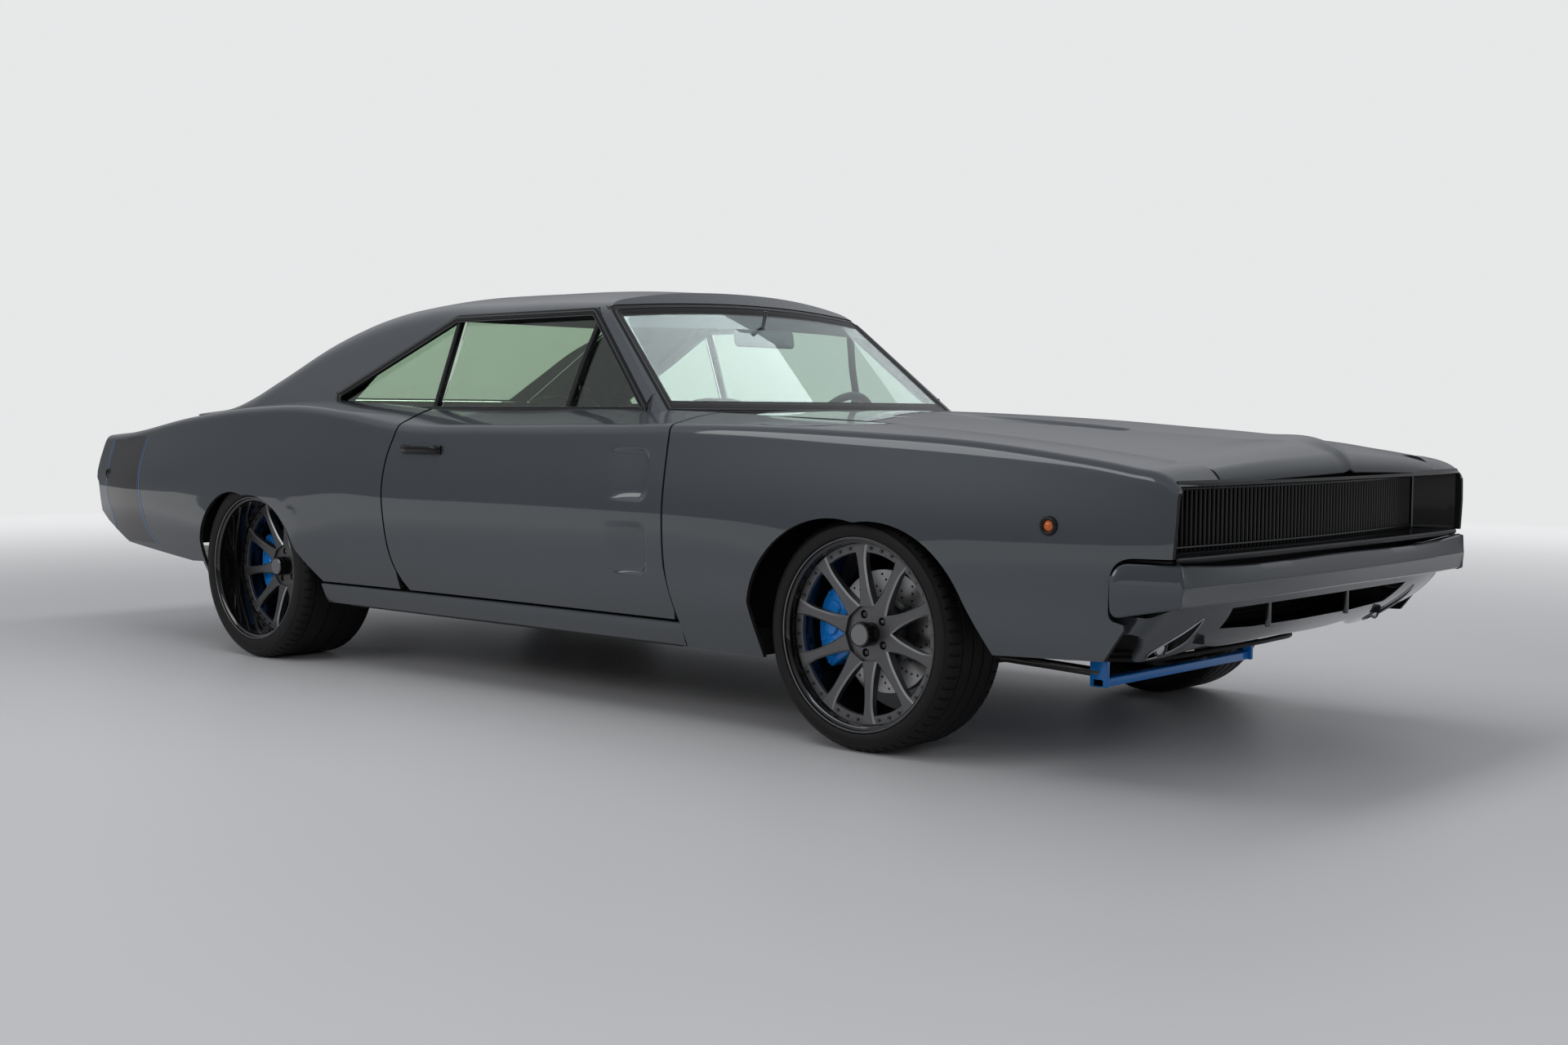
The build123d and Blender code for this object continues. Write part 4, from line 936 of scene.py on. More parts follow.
def smooth_shape(piece, angle=40):
    """Smooths the shading, except over edges sharper than the angle."""
    alone(piece)
    bpy.ops.object.shade_smooth_by_angle(angle=math.radians(angle))
    return piece


def thickened(piece, depth, offset=-1.0):
    """Gives a sheet a thickness."""
    alone(piece)
    wall = piece.modifiers.new("wall", "SOLIDIFY")
    wall.thickness, wall.offset, wall.use_even_offset = depth, offset, False
    bpy.ops.object.modifier_apply(modifier=wall.name)
    return piece


def eased(piece, width, segments=2, angle=30):
    """Rounds the sharp edges."""
    alone(piece)
    round_off = piece.modifiers.new("ease", "BEVEL")
    round_off.width, round_off.segments = width, segments
    round_off.limit_method, round_off.angle_limit = "ANGLE", math.radians(angle)
    bpy.ops.object.modifier_apply(modifier=round_off.name)
    return smooth_shape(piece, 35)


def box(name, xs, ys, zs, round_off=0.0, segments=2):
    """A block drawn from a cube at its size and place, with eased edges."""
    alone()
    bpy.ops.mesh.primitive_cube_add(size=1)
    piece = bpy.context.object
    piece.name = piece.data.name = name
    size = [b - a for a, b in (xs, ys, zs)]
    middle = [(a + b) / 2 for a, b in (xs, ys, zs)]
    piece.data.transform(Matrix.Translation(middle) @ Matrix.Diagonal((*size, 1)))
    if round_off:
        eased(piece, round_off, segments)
    return piece


def bend_3d(points, count):
    """A smooth path through points in space."""
    spots = [Vector(p) for p in points]
    spots = [spots[0] * 2 - spots[1]] + spots + [spots[-1] * 2 - spots[-2]]
    out = []
    for k in range(1, len(spots) - 2):
        a, b, c, d = spots[k - 1:k + 3]
        for j in range(count):
            t = j / count
            out.append(0.5 * ((2 * b) + (c - a) * t + (2 * a - 5 * b + 4 * c - d) * t**2
                              + (3 * b - a - 3 * c + d) * t**3))
    return out + [spots[-2]]


def closed_bend(points, per=8):
    """A smooth closed curve through the points."""
    out, n = [], len(points)
    for i in range(n):
        p0, p1, p2, p3 = points[i - 1], points[i], points[(i + 1) % n], points[(i + 2) % n]
        for k in range(per):
            t = k / per
            out.append(tuple(0.5 * (2 * b + (c - a) * t + (2 * a - 5 * b + 4 * c - d) * t * t
                                    + (3 * b - a - 3 * c + d) * t**3) for a, b, c, d in zip(p0, p1, p2, p3)))
    return out


# ---- Front end -----------------------------------------------------------------------
BUMPER_CORNER, BUMPER_END = (NOSE - 0.0245, 0.876), (FRONT_AXLE + 0.831, 0.934)
BUMPER_CREASE = 0.524
# set back from the crease, turned in behind, height from the top (t), crease (c) or low edge (l)
BUMPER_PROFILE = [
    (0.024, 0.040, "t", -0.004), (0.024, 0.012, "t", 0.0), (0.022, 0.004, "t", -0.0006),
    (0.0205, 0.0, "t", -0.004), (0.0110, 0.0, "c", 0.0270), (0.0030, 0.0, "c", 0.0060),
    (0.0012, 0.0, "c", 0.0022), (0.0006, 0.0, "c", 0.0), (0.0014, 0.0, "c", -0.0022),
    (0.0036, 0.0, "c", -0.0060), (0.0130, 0.0, "c", -0.0240), (0.0215, 0.0, "l", 0.0045),
    (0.0230, 0.004, "l", 0.0010), (0.0240, 0.012, "l", 0.0), (0.0240, 0.040, "l", 0.003),
]


def with_normals(line):
    """A plan line from the middle outwards with its outward normals."""
    out = []
    for i, (x, y) in enumerate(line):
        ax, ay = line[i - 1] if i else (line[1][0], -line[1][1])
        bx, by = line[min(i + 1, len(line) - 1)]
        long = math.hypot(bx - ax, by - ay)
        out.append((x, y, (by - ay) / long, (ax - bx) / long))
    return out


class CAR_OT_front_bumper(Piece, bpy.types.Operator):
    """Creased front bumper with mitred ends"""
    bl_idname = "car.front_bumper"
    bl_label = "Front bumper"

    def execute(self, context):
        (cx, cy), (ex, ey) = BUMPER_CORNER, BUMPER_END
        line = [(NOSE - (NOSE - cx) * (y / cy)**2, y) for y in [(cy - 0.008) * k / 26 for k in range(27)]]
        turn = corner(line[-1], (cx, cy + 0.001), (cx - 0.009, cy + 0.005), 5)[1:]
        shares = [1.0] * 27 + [0.72, 0.4, 0.15, 0.0]
        line += turn
        sx, sy = line[-1]
        ends = [0.1, 0.2, 0.3, 0.4, 0.5, 0.6, 0.68, 0.75, 0.81, 0.86, 0.90, 0.94, 0.97, 0.99, 1.0]
        line += [(sx + (ex - sx) * t, sy + (ey - sy) * (t + 0.28 * t * (1 - t))) for t in ends]
        rings = []
        for i, (x, y, nx, ny) in enumerate(with_normals(line)):
            front = shares[i] if i < len(shares) else 0.0
            t = max(0.0, (sx - x) / (sx - ex)) if i >= len(shares) else 0.0
            u = max(0.0, (x - ex))
            cut_top, cut_low = rolled(0.046, u), rolled(0.024, u)
            top = smooth([(0, 0.572), (0.70, 0.573), (0.875, 0.582), (0.934, 0.584)], y)[0] - cut_top
            low = smooth([(0, 0.477), (0.70, 0.474), (0.876, 0.475)], y)[0] - 0.032 * t + cut_low
            height = {"t": top, "c": BUMPER_CREASE, "l": low}
            lean = 1 - 0.5 * (y / cy)**2 if front else 0
            ring = []
            for back, turn_in, kind, dz in BUMPER_PROFILE:
                lap = back * front * max(lean, 0.45) + turn_in * (1 if front else 0.7)
                lap += 0.004 if not front and kind != "c" else 0
                ring.append((x - nx * lap, y - ny * lap, height[kind] + dz))
            rings.append(ring)
        rings.append([(x, y - 0.034, z) for x, y, z in rings[-1]])
        mirror = [[(x, -y, z) for x, y, z in ring] for ring in rings[:0:-1]]
        skin = tidy_open(loft("front_bumper_shape", mirror + rings, closed=False))
        thickened(skin, 0.003)
        smooth_shape(tidy(skin, TIGHT), 26)
        done(painted(skin, "paint"), "body", "paint", "front_bumper")
        fillers = []
        for side in (1, -1):
            fillers.append(box("gap_filler", (FRONT_AXLE + 0.800, FRONT_AXLE + 0.830),
                               sorted((side * 0.870, side * 0.900)),
                               (0.445, 0.600), 0.002))
            fillers.append(box("gap_filler", (FRONT_AXLE + 0.820, NOSE - 0.060),
                               sorted((side * 0.780, side * 0.880)),
                               (0.586, 0.592), 0.001))
        finished("bumper_gap_fillers", fillers, "black_rubber", "body", "black_trim")
        return {"FINISHED"}


VALANCE_FRONT, VALANCE_TURN = 2.587, 0.82
VALANCE_TOP = [(0, 0.474), (0.700, 0.471), (0.868, 0.452), (0.884, 0.446)]
VALANCE_LOW = [(0, 0.318), (0.350, 0.318), (0.450, 0.327), (0.560, 0.309), (0.640, 0.302), (0.700, 0.303),
               (0.745, 0.320), (0.800, 0.360), (0.868, 0.395), (0.900, 0.400)]
MOUTH = [(-0.508, 0.391), (-0.300, 0.379), (0, 0.376), (0.300, 0.379), (0.508, 0.391), (0.540, 0.452),
         (-0.540, 0.452)]
DUCT = [(0.648, 0.428), (0.657, 0.427), (0.678, 0.396), (0.700, 0.360), (0.694, 0.330), (0.655, 0.313),
        (0.614, 0.325), (0.603, 0.355), (0.628, 0.394)]


def valance_x(y, z):
    """The valance's raked face."""
    d, across = 0.460 - z, min(abs(y), VALANCE_TURN)
    rake = 0.6 * d
    curl = 4.3 * d * abs(d)
    bow = 0.010 * (1 - (across / 0.9)**2)
    sweep = 0.25 * max(0, across - 0.5)**2
    return VALANCE_FRONT - rake - curl + bow - sweep


def valance_spot(step, z):
    """A point of the valance's plan line at a height: across, round the corner and back."""
    wide = (0.846 + (0.884 - 0.846) * (z - 0.295) / 0.205) / 0.884
    if step <= VALANCE_TURN:
        return valance_x(step, z), step * wide
    if step <= 0.914:
        a = (step - VALANCE_TURN) / 0.060
        return (valance_x(VALANCE_TURN, z) - 0.034 * (1 - math.cos(a)),
                (VALANCE_TURN + 0.062 * math.sin(a)) * wide)
    return valance_x(VALANCE_TURN, z) - 0.034 - (step - 0.914), 0.882 * wide


class CAR_OT_front_valance(Piece, bpy.types.Operator):
    """Valance tucked in under the bumper, with its mouth, ducts, lamps and guards"""
    bl_idname = "car.front_valance"
    bl_label = "Front valance"

    def execute(self, context):
        rows = 22
        rings = []
        for step in spread(0, 0.820, 0.020) + [0.835, 0.850, 0.865, 0.880, 0.895, 0.913, 0.950, 1.0]:
            low, top = smooth(VALANCE_LOW, step)[0], smooth(VALANCE_TOP, step)[0]
            heights = [low + 0.012, low + 0.002, low + 0.0005]
            heights += [low + 0.002 + (top - low - 0.002) * k / rows for k in range(rows + 1)]
            ring = []
            for k, z in enumerate(heights):
                x, y = valance_spot(step, z)
                tuck = (0.034, 0.012, 0.003)[k] if k < 3 else 0
                ring.append((x - tuck, y * (1 - tuck * 0.2), z))
            rings.append(ring)
        mirror = [[(x, -y, z) for x, y, z in ring] for ring in rings[:0:-1]]
        outer = tidy_open(loft("valance_skin", mirror + rings, closed=False))
        piece = copy_of(outer, "front_valance_shape")
        thickened(piece, 0.005)
        tidy(piece, TIGHT)
        carve(piece, prism("mouth", MOUTH, *NOSE_REACH, "x"))
        duct = closed_bend(DUCT, 5)
        for side in (1, -1):
            carve(piece, prism("duct_cut", [(side * y, z) for y, z in duct], *NOSE_REACH, "x"))
        painted(piece, "paint")
        settle(piece, outer)
        drop(outer)
        done(piece, "body", "paint", "front_valance")

        pockets, rims, lamps, bezels = [], [], [], []
        for side in (1, -1):
            edge = [(valance_x(y, z), side * y, z) for y, z in duct]
            middle = Vector((2.49, side * 0.650, 0.362))

            def shrunk(share, back):
                return [tuple(middle + (Vector(p) - middle) * share - Vector((back, 0, 0))) for p in edge]
            pocket = loft("duct_pocket", [shrunk(1.01, -0.001), shrunk(0.97, 0.005), shrunk(0.92, 0.022),
                                          shrunk(0.84, 0.045)], capped=False)
            back = mesh_object("duct_back", shrunk(0.84, 0.045), [tuple(range(len(edge)))])
            pockets.append(joined("duct_pocket", [pocket, back]))
            rims.append(tube("duct_rim", shrunk(1.0, -0.0005), 0.0026, 6, closed=True))
            spot = Vector((2.440, side * 0.652, 0.352))
            lamps.append(front_disc("fog_lens", spot, 0.0285, 0.010))
            ring = [(spot.x + 0.003, spot.y + 0.0305 * math.cos(a), spot.z + 0.0305 * math.sin(a))
                    for a in turns(28)]
            bezels.append(tube("fog_bezel", ring, 0.0028, 8, closed=True))
        pocket = tidy(joined("duct_pockets", pockets))
        smooth_shape(pocket, 40)
        done(painted(pocket, "black_trim"), "body", "black_trim")
        finished("duct_outlines", rims, "bright_edge", "body", "steel")
        finished("fog_lenses", lamps, "clear_lens", "body", "lamp")
        finished("fog_bezels", bezels, "dark_metal", "body", "steel")

        guards = [box("guard", (NOSE - 0.130, NOSE - 0.116), (y - 0.007, y + 0.007), (0.374, 0.470), 0.003)
                  for y in (-0.242, 0.242)]
        finished("mouth_guards", guards, "dark_metal", "body", "black_trim")
        cooler = [box("mouth_back", (NOSE - 0.330, NOSE - 0.322), (-0.560, 0.560), (0.352, 0.500), 0.002),
                  box("mouth_floor", (NOSE - 0.330, NOSE - 0.190), (-0.540, 0.540), (0.350, 0.358), 0.002)]
        cooler += [box("mouth_slat", (NOSE - 0.316, NOSE - 0.308), (-0.540, 0.540), (z, z + 0.004))
                   for z in [0.372 + 0.014 * k for k in range(8)]]
        cooler += [box("mouth_side", (NOSE - 0.330, NOSE - 0.150), sorted((side * 0.540, side * 0.548)),
                       (0.350, 0.470), 0.002)
                   for side in (1, -1)]
        cooler.append(box("grille_apron", (NOSE - 0.218, NOSE - 0.210), (-0.800, 0.800), (0.460, 0.600),
                          0.002))
        finished("mouth_cooler", cooler, "underbody", "body", "underbody")
        return {"FINISHED"}


def front_disc(name, spot, radius, dome, rings=5, sides=28):
    """A domed disc that faces forward."""
    lines = [[(spot.x + dome * (1 - (k / rings)**2), spot.y + radius * k / rings * math.cos(a),
               spot.z + radius * k / rings * math.sin(a)) for a in turns(sides)]
             for k in range(1, rings + 1)]
    piece = loft(name, lines + [[(spot.x - 0.004, y, z) for _, y, z in lines[-1]]])
    return smooth_shape(tidy(piece, TIGHT), 40)


GRILLE_LOW, GRILLE_TOP, GRILLE_HALF, GRILLE_END = 0.600, 0.774, 0.752, 0.866
GRILLE_LIP = [(0, NOSE - 0.026), (0.55, NOSE - 0.032), (0.80, NOSE - 0.044), (GRILLE_END, NOSE - 0.052)]


def grille_x(y):
    """Front of the grille's bars, which bow back towards its ends."""
    return 2.548 - 0.046 * min(1, abs(y) / GRILLE_HALF)**2


def smooth_lip(ys):
    """Points along the front lip of the grille's surround."""
    return [(smooth(GRILLE_LIP, abs(y))[0] - 0.002, y) for y in ys]


class CAR_OT_grille(Piece, bpy.types.Operator):
    """Full-width grille of fine upright bars in its deep surround"""
    bl_idname = "car.grille"
    bl_label = "Grille"

    def execute(self, context):
        pieces = []
        sizes = context.scene.car_sizes
        half = sizes.bar_width / 2
        for y in [GRILLE_HALF * (2 * k / (sizes.slats - 1) - 1) for k in range(sizes.slats)]:
            x = grille_x(y)
            outline = [(x, y - 0.0012), (x, y + 0.0012), (x - 0.004, y + half), (x - 0.016, y + half),
                       (x - 0.016, y - half), (x - 0.004, y - half)]
            pieces.append(loft("grille_bar", [[(px, py, z) for px, py in outline]
                                              for z in (GRILLE_LOW, GRILLE_TOP)]))
        bars = tidy(joined("grille_bars", pieces), TIGHT)
        done(painted(bars, "grille_black"), "body", "black_trim", "grille")
        rings = []
        for k in range(93):
            y = GRILLE_END * (k / 46 - 1)
            side = abs(y)
            lip = smooth(GRILLE_LIP, side)[0]
            back = grille_x(y) - 0.022
            if side > GRILLE_HALF:
                back += (lip - 0.006 - back) * ((side - GRILLE_HALF) / (GRILLE_END - GRILLE_HALF))
            back = min(back, lip - 0.006)
            turn = min(0.016, (lip - back) * 0.5)
            half = [(lip - 0.004, GRILLE_TOP + 0.014), (lip, GRILLE_TOP + 0.009),
                    (lip - 0.002, GRILLE_TOP + 0.003)]
            half += corner((back + turn, GRILLE_TOP + 0.001), (back, GRILLE_TOP - 0.001),
                           (back, GRILLE_TOP - turn), 4)
            low = [(x, GRILLE_TOP + GRILLE_LOW - z) for x, z in half[::-1]]
            rings.append([(x, y, z) for x, z in half + low])
        surround = loft("grille_surround_shape", rings, closed=False)
        thickened(surround, 0.003, 1.0)
        smooth_shape(tidy(surround, TIGHT), 35)
        done(painted(surround, "black_trim"), "body", "black_trim")
        rails = []
        for z in (GRILLE_LOW + 0.012, GRILLE_TOP - 0.012):
            ys = [GRILLE_HALF * (k / 16 - 1) for k in range(33)]
            rails.append(tube("grille_rail", [(grille_x(y) + 0.002, y, z) for y in ys], 0.0032, 6))
        for z in (GRILLE_LOW - 0.004, GRILLE_TOP + 0.008):
            ys = [0.860 * (k / 24 - 1) for k in range(49)]
            lips = smooth_lip(ys)
            rails.append(tube("surround_bead", [(x, y, z) for x, y in lips], 0.0042, 6))
        for side in (1, -1):
            y = side * (GRILLE_HALF + 0.012)
            rails.append(tube("end_bead", [(grille_x(y) + 0.004, y, z)
                                           for z in (GRILLE_LOW + 0.004, GRILLE_TOP - 0.004)], 0.004, 6))
        finished("grille_rails", rails, "dark_metal", "body", "black_trim")
        return {"FINISHED"}


def side_ring_at(name, x, z, side, radius, thick, proud):
    """A ring on the body side, facing out along y."""
    y = side * (skin_y(x, z) + proud)
    path = [(x + radius * math.cos(a), y, z + radius * math.sin(a)) for a in turns(32)]
    return tube(name, path, thick, 8, closed=True)


def side_lens(name, x, z, side, radius, proud, dome):
    """A domed round lens on the body side."""
    y = skin_y(x, z) + proud
    lines = [[(x + radius * k / 5 * math.cos(a), side * (y + dome * (1 - (k / 5)**2)),
               z + radius * k / 5 * math.sin(a))
              for a in turns(28)] for k in range(1, 6)]
    piece = loft(name, lines + [[(px, side * (y - 0.006), pz) for px, _, pz in lines[-1]]])
    return smooth_shape(tidy(piece, TIGHT), 40)


class CAR_OT_markers(Piece, bpy.types.Operator):
    """Round side markers in their bezels"""
    bl_idname = "car.markers"
    bl_label = "Side markers"

    def execute(self, context):
        ambers, reds, bezels = [], [], []
        for side in (1, -1):
            ambers.append(side_lens("amber", FRONT_AXLE + 0.648, 0.668, side, 0.0140, 0.002, 0.005))
            reds.append(side_lens("red", REAR_AXLE - 1.179, 0.680, side, 0.016, 0.000, 0.003))
            bezels.append(side_ring_at("bezel", FRONT_AXLE + 0.648, 0.668, side, 0.0200, 0.0062, 0.0005))
            bezels.append(side_ring_at("bezel", REAR_AXLE - 1.179, 0.680, side, 0.0185, 0.0035, 0.0005))
        finished("amber_markers", ambers, "lamp", "body", "lamp", "marker_lamps")
        finished("rear_markers", reds, "black_trim", "body", "black_trim")
        finished("marker_bezels", bezels, "black_trim", "body", "black_trim")
        return {"FINISHED"}


# ---- Wheels --------------------------------------------------------------------------
WHEELS = {
    "front": {"x": FRONT_AXLE, "lip": 0.912, "width": 0.255, "radius": 0.332, "disc": 0.150, "turn": 94,
              "face": (-0.051, -0.046, -0.041, -0.036, -0.034), "pad": -0.062, "ring": -0.040},
    "rear": {"x": REAR_AXLE, "lip": 0.952, "width": 0.335, "radius": 0.347, "disc": 0.228, "turn": 80,
             "face": (-0.140, -0.134, -0.128, -0.121, -0.118), "pad": -0.148, "ring": -0.124},
}
LUGS, RIM_BOLTS, LUG_CIRCLE, BEAD_R = 5, 40, 0.057, 0.2765
SPOKE_R = (0.078, 0.115, 0.160, 0.215, 0.252)
SPOKE_HALF = (0.0270, 0.0195, 0.0155, 0.0165, 0.0250)


def at_wheel(wheel, r, degrees, offset):
    """A point of a left-hand wheel: radius, turn from straight ahead and distance outside its lip."""
    a = math.radians(degrees)
    return (wheel["x"] + r * math.cos(a), wheel["lip"] + offset, wheel["radius"] + r * math.sin(a))


def beside(wheel, r, degrees):
    """The same point as (x, z) in the wheel's plane."""
    x, _, z = at_wheel(wheel, r, degrees, 0)
    return x, z


def wheel_spin(name, wheel, profile, segments=120, angle=35):
    """A profile of (radius, offset from the lip) spun about the wheel's axle."""
    return turned(name, profile, segments, (wheel["x"], wheel["lip"], wheel["radius"]), angle)


def wheel_stud(name, wheel, r, degrees, radius, low, high, sides=12):
    """A short round bar along the wheel's axis."""
    centre = Vector(at_wheel(wheel, r, degrees, 0))
    rings = []
    for share, offset in ((1, low), (1, high - radius * 0.15), (0.82, high)):
        rings.append([centre + Vector((radius * share * math.cos(a), offset, radius * share * math.sin(a)))
                      for a in turns(sides)])
    return loft(name, rings)


def spoke(wheel, degrees):
    """A spoke with a flat face, bright chamfers and flared ends."""
    rows = spread(SPOKE_R[0], SPOKE_R[-1], 0.009)
    table = [(r, half, face) for r, half, face in zip(SPOKE_R, SPOKE_HALF, wheel["face"])]
    a = math.radians(degrees)
    along, across = Vector((math.cos(a), 0, math.sin(a))), Vector((-math.sin(a), 0, math.cos(a)))
    centre = Vector((wheel["x"], wheel["lip"], wheel["radius"]))
    rings = []
    for r in rows:
        half, face = smooth(table, r)
        deep = 0.030 - 0.010 * ramp(0.1, 0.25, r)
        line = [(-half, face - deep), (-half, face - 0.0045), (-half + 0.0050, face), (half - 0.0050, face),
                (half, face - 0.0045), (half, face - deep)]
        rings.append([centre + along * r + across * w + Vector((0, o, 0)) for w, o in line])
    return loft("spoke", rings)


class CAR_OT_rims(Piece, bpy.types.Operator):
    """Ten-spoke rims with deep black barrels, bolt rings, caps and nuts"""
    bl_idname = "car.rims"
    bl_label = "Rims"

    def execute(self, context):
        for end, wheel in WHEELS.items():
            pad, ring, width = wheel["pad"], wheel["ring"], wheel["width"]
            body = f"wheel_{end}_" + "{}"
            count = context.scene.car_sizes.spokes
            face = joined("spokes", [spoke(wheel, wheel["turn"] + 360 * k / count) for k in range(count)])
            tidy(face, TIGHT)
            wears(face, "rim", "spoke_edge")
            for quad in face.data.polygons:
                quad.material_index = int(0.35 < quad.normal.y < 0.93)
            hub = tidy(wheel_spin("hub", wheel, [(0.030, pad - 0.030), (0.030, pad), (0.079, pad),
                                                 (0.0825, pad - 0.003), (0.086, pad - 0.030),
                                                 (0.030, pad - 0.030)], 90))
            for k in range(LUGS):
                carve(hub, tidy(wheel_stud("lug_hole", wheel, LUG_CIRCLE,
                                           wheel["turn"] + 18 + 360 / LUGS * k, 0.0125, pad - 0.022,
                                           pad + 0.010, 20)))
            smooth_shape(painted(hub, "rim"), 30)
            bolt_ring = wheel_spin("bolt_ring", wheel,
                                   [(0.230, ring - 0.010), (0.231, ring), (0.2325, ring + 0.0015),
                                    (0.2555, ring + 0.0015), (0.2565, ring), (0.2570, ring - 0.010),
                                    (0.230, ring - 0.010)])
            painted(bolt_ring, "rim")
            self.place(joined(f"rim_face_{end}", [face, hub, bolt_ring]), body, "rim", f"rim_{end}")

            barrel = wheel_spin("barrel", wheel, [
                (0.2615, -0.012), (0.2757, -0.010), (0.2758, -0.0016), (0.2750, -0.0004), (0.2738, 0.0),
                (0.2705, -0.0002), (0.2690, -0.0020), (0.2676, -0.0080), (0.2640, -0.0105), (0.2596, -0.0125),
                (0.2580, -0.0160), (0.2574, ring - 0.001), (0.2500, ring - 0.004), (0.2490, ring - 0.040),
                (0.2400, ring - 0.060), (0.2400, 0.030 - width), (0.2520, 0.012 - width),
                (0.2700, 0.002 - width), (0.2750, 0.002 - width), (0.2757, 0.009 - width),
                (0.2615, 0.012 - width), (0.2615, -0.012)], 144, 28)
            cap = wheel_spin("cap", wheel, [(0.0, pad + 0.0470), (0.0310, pad + 0.0470),
                                            (0.0335, pad + 0.0455), (0.0350, pad + 0.0420),
                                            (0.0365, pad + 0.0360), (0.0365, pad - 0.002)], 48, 30)
            nuts = [wheel_stud("nut", wheel, LUG_CIRCLE, wheel["turn"] + 18 + 360 / LUGS * k, 0.0085,
                               pad - 0.020, pad - 0.004, 6)
                    for k in range(LUGS)]
            bolts = [wheel_stud("bolt", wheel, 0.2440, wheel["turn"] + 360 * k / RIM_BOLTS, 0.0048, ring,
                                ring + 0.0060, 8)
                     for k in range(RIM_BOLTS) if k % 4]
            black = joined(f"rim_barrel_{end}", [barrel, cap] + [tidy(p, TIGHT) for p in nuts + bolts])
            self.place(painted(black, "rim_black"), body, "black_trim", None)

            disc = wheel_spin("cap_face", wheel, [(0.0, pad + 0.0482), (0.0285, pad + 0.0482),
                                                  (0.0295, pad + 0.0476), (0.0298, pad + 0.0465)], 48, 30)
            # A thin grey metal ring on the black lip is a painted highlight: the line of light along the
            # rim's edge. The cap face beside it is the cap's own grey.
            edge = wheel_spin("lip_line", wheel, [(0.2696, 0.0006 - 0.001), (0.2704, 0.0004),
                                                  (0.2714, 0.0004), (0.2720, -0.0006)],
                              144, 30)
            bright = joined(f"rim_bright_{end}", [disc, edge])
            self.place(painted(bright, "cap_grey"), body, "rim", None)
        return {"FINISHED"}

    def place(self, piece, body, slot, node):
        hang_pair(piece, piece.name, body, slot, node)


class CAR_OT_tyres(Piece, bpy.types.Operator):
    """Low tyres with grooves, shoulder cuts and plain rounded walls"""
    bl_idname = "car.tyres"
    bl_label = "Tyres"

    def execute(self, context):
        for end, wheel in WHEELS.items():
            rise, width = wheel["radius"], wheel["width"]
            wall = rise - BEAD_R
            half = [(0.2635, -0.0110), (0.2768, -0.0085), (0.2768, -0.0018), (0.2780, 0.0010),
                    (0.2815, 0.0030), (BEAD_R + wall * 0.28, 0.0042), (BEAD_R + wall * 0.44, 0.0034),
                    (BEAD_R + wall * 0.58, 0.0008), (BEAD_R + wall * 0.60, 0.0016),
                    (BEAD_R + wall * 0.62, -0.0004), (BEAD_R + wall * 0.76, -0.0062),
                    (BEAD_R + wall * 0.87, -0.0130), (BEAD_R + wall * 0.945, -0.0205),
                    (BEAD_R + wall * 0.980, -0.0290), (BEAD_R + wall * 0.993, -0.0380)]
            grooves = [0.055 + (width - 0.110) * k / 3 for k in range(4)]
            tread = []
            for centre in grooves:
                for o, deep in ((-0.0052, 0), (-0.0044, 0.0012), (-0.0030, 0.0068), (0.0030, 0.0068),
                                (0.0044, 0.0012), (0.0052, 0)):
                    tread.append((rise - 0.0003 - deep, -centre - o))
            tread.sort(key=lambda p: -p[1])
            profile = half + tread + [(r, -width - o) for r, o in half[::-1]]
            rings = []
            cuts, deepest = 64, 0.0042
            for k in range(cuts):
                for share, cut in ((0.0, 0), (0.06, 1), (0.20, 1), (0.26, 0), (0.62, 0)):
                    a = 360 * (k + share) / cuts
                    ring = []
                    for i, (r, o) in enumerate(profile):
                        edge = min(i, len(profile) - 1 - i)
                        sink = deepest * cut if 10 < edge < 15 else 0
                        ring.append(at_wheel(wheel, r - sink, a, o))
                    rings.append(ring)
            rings.append(rings[0])
            piece = tidy(loft("tyre", rings, capped=False), TIGHT)
            smooth_shape(painted(piece, "tyre"), 32)
            hang_pair(piece, f"tyre_shape_{end}", f"wheel_{end}_" + "{}", "tyre", f"tyre_{end}")
        return {"FINISHED"}


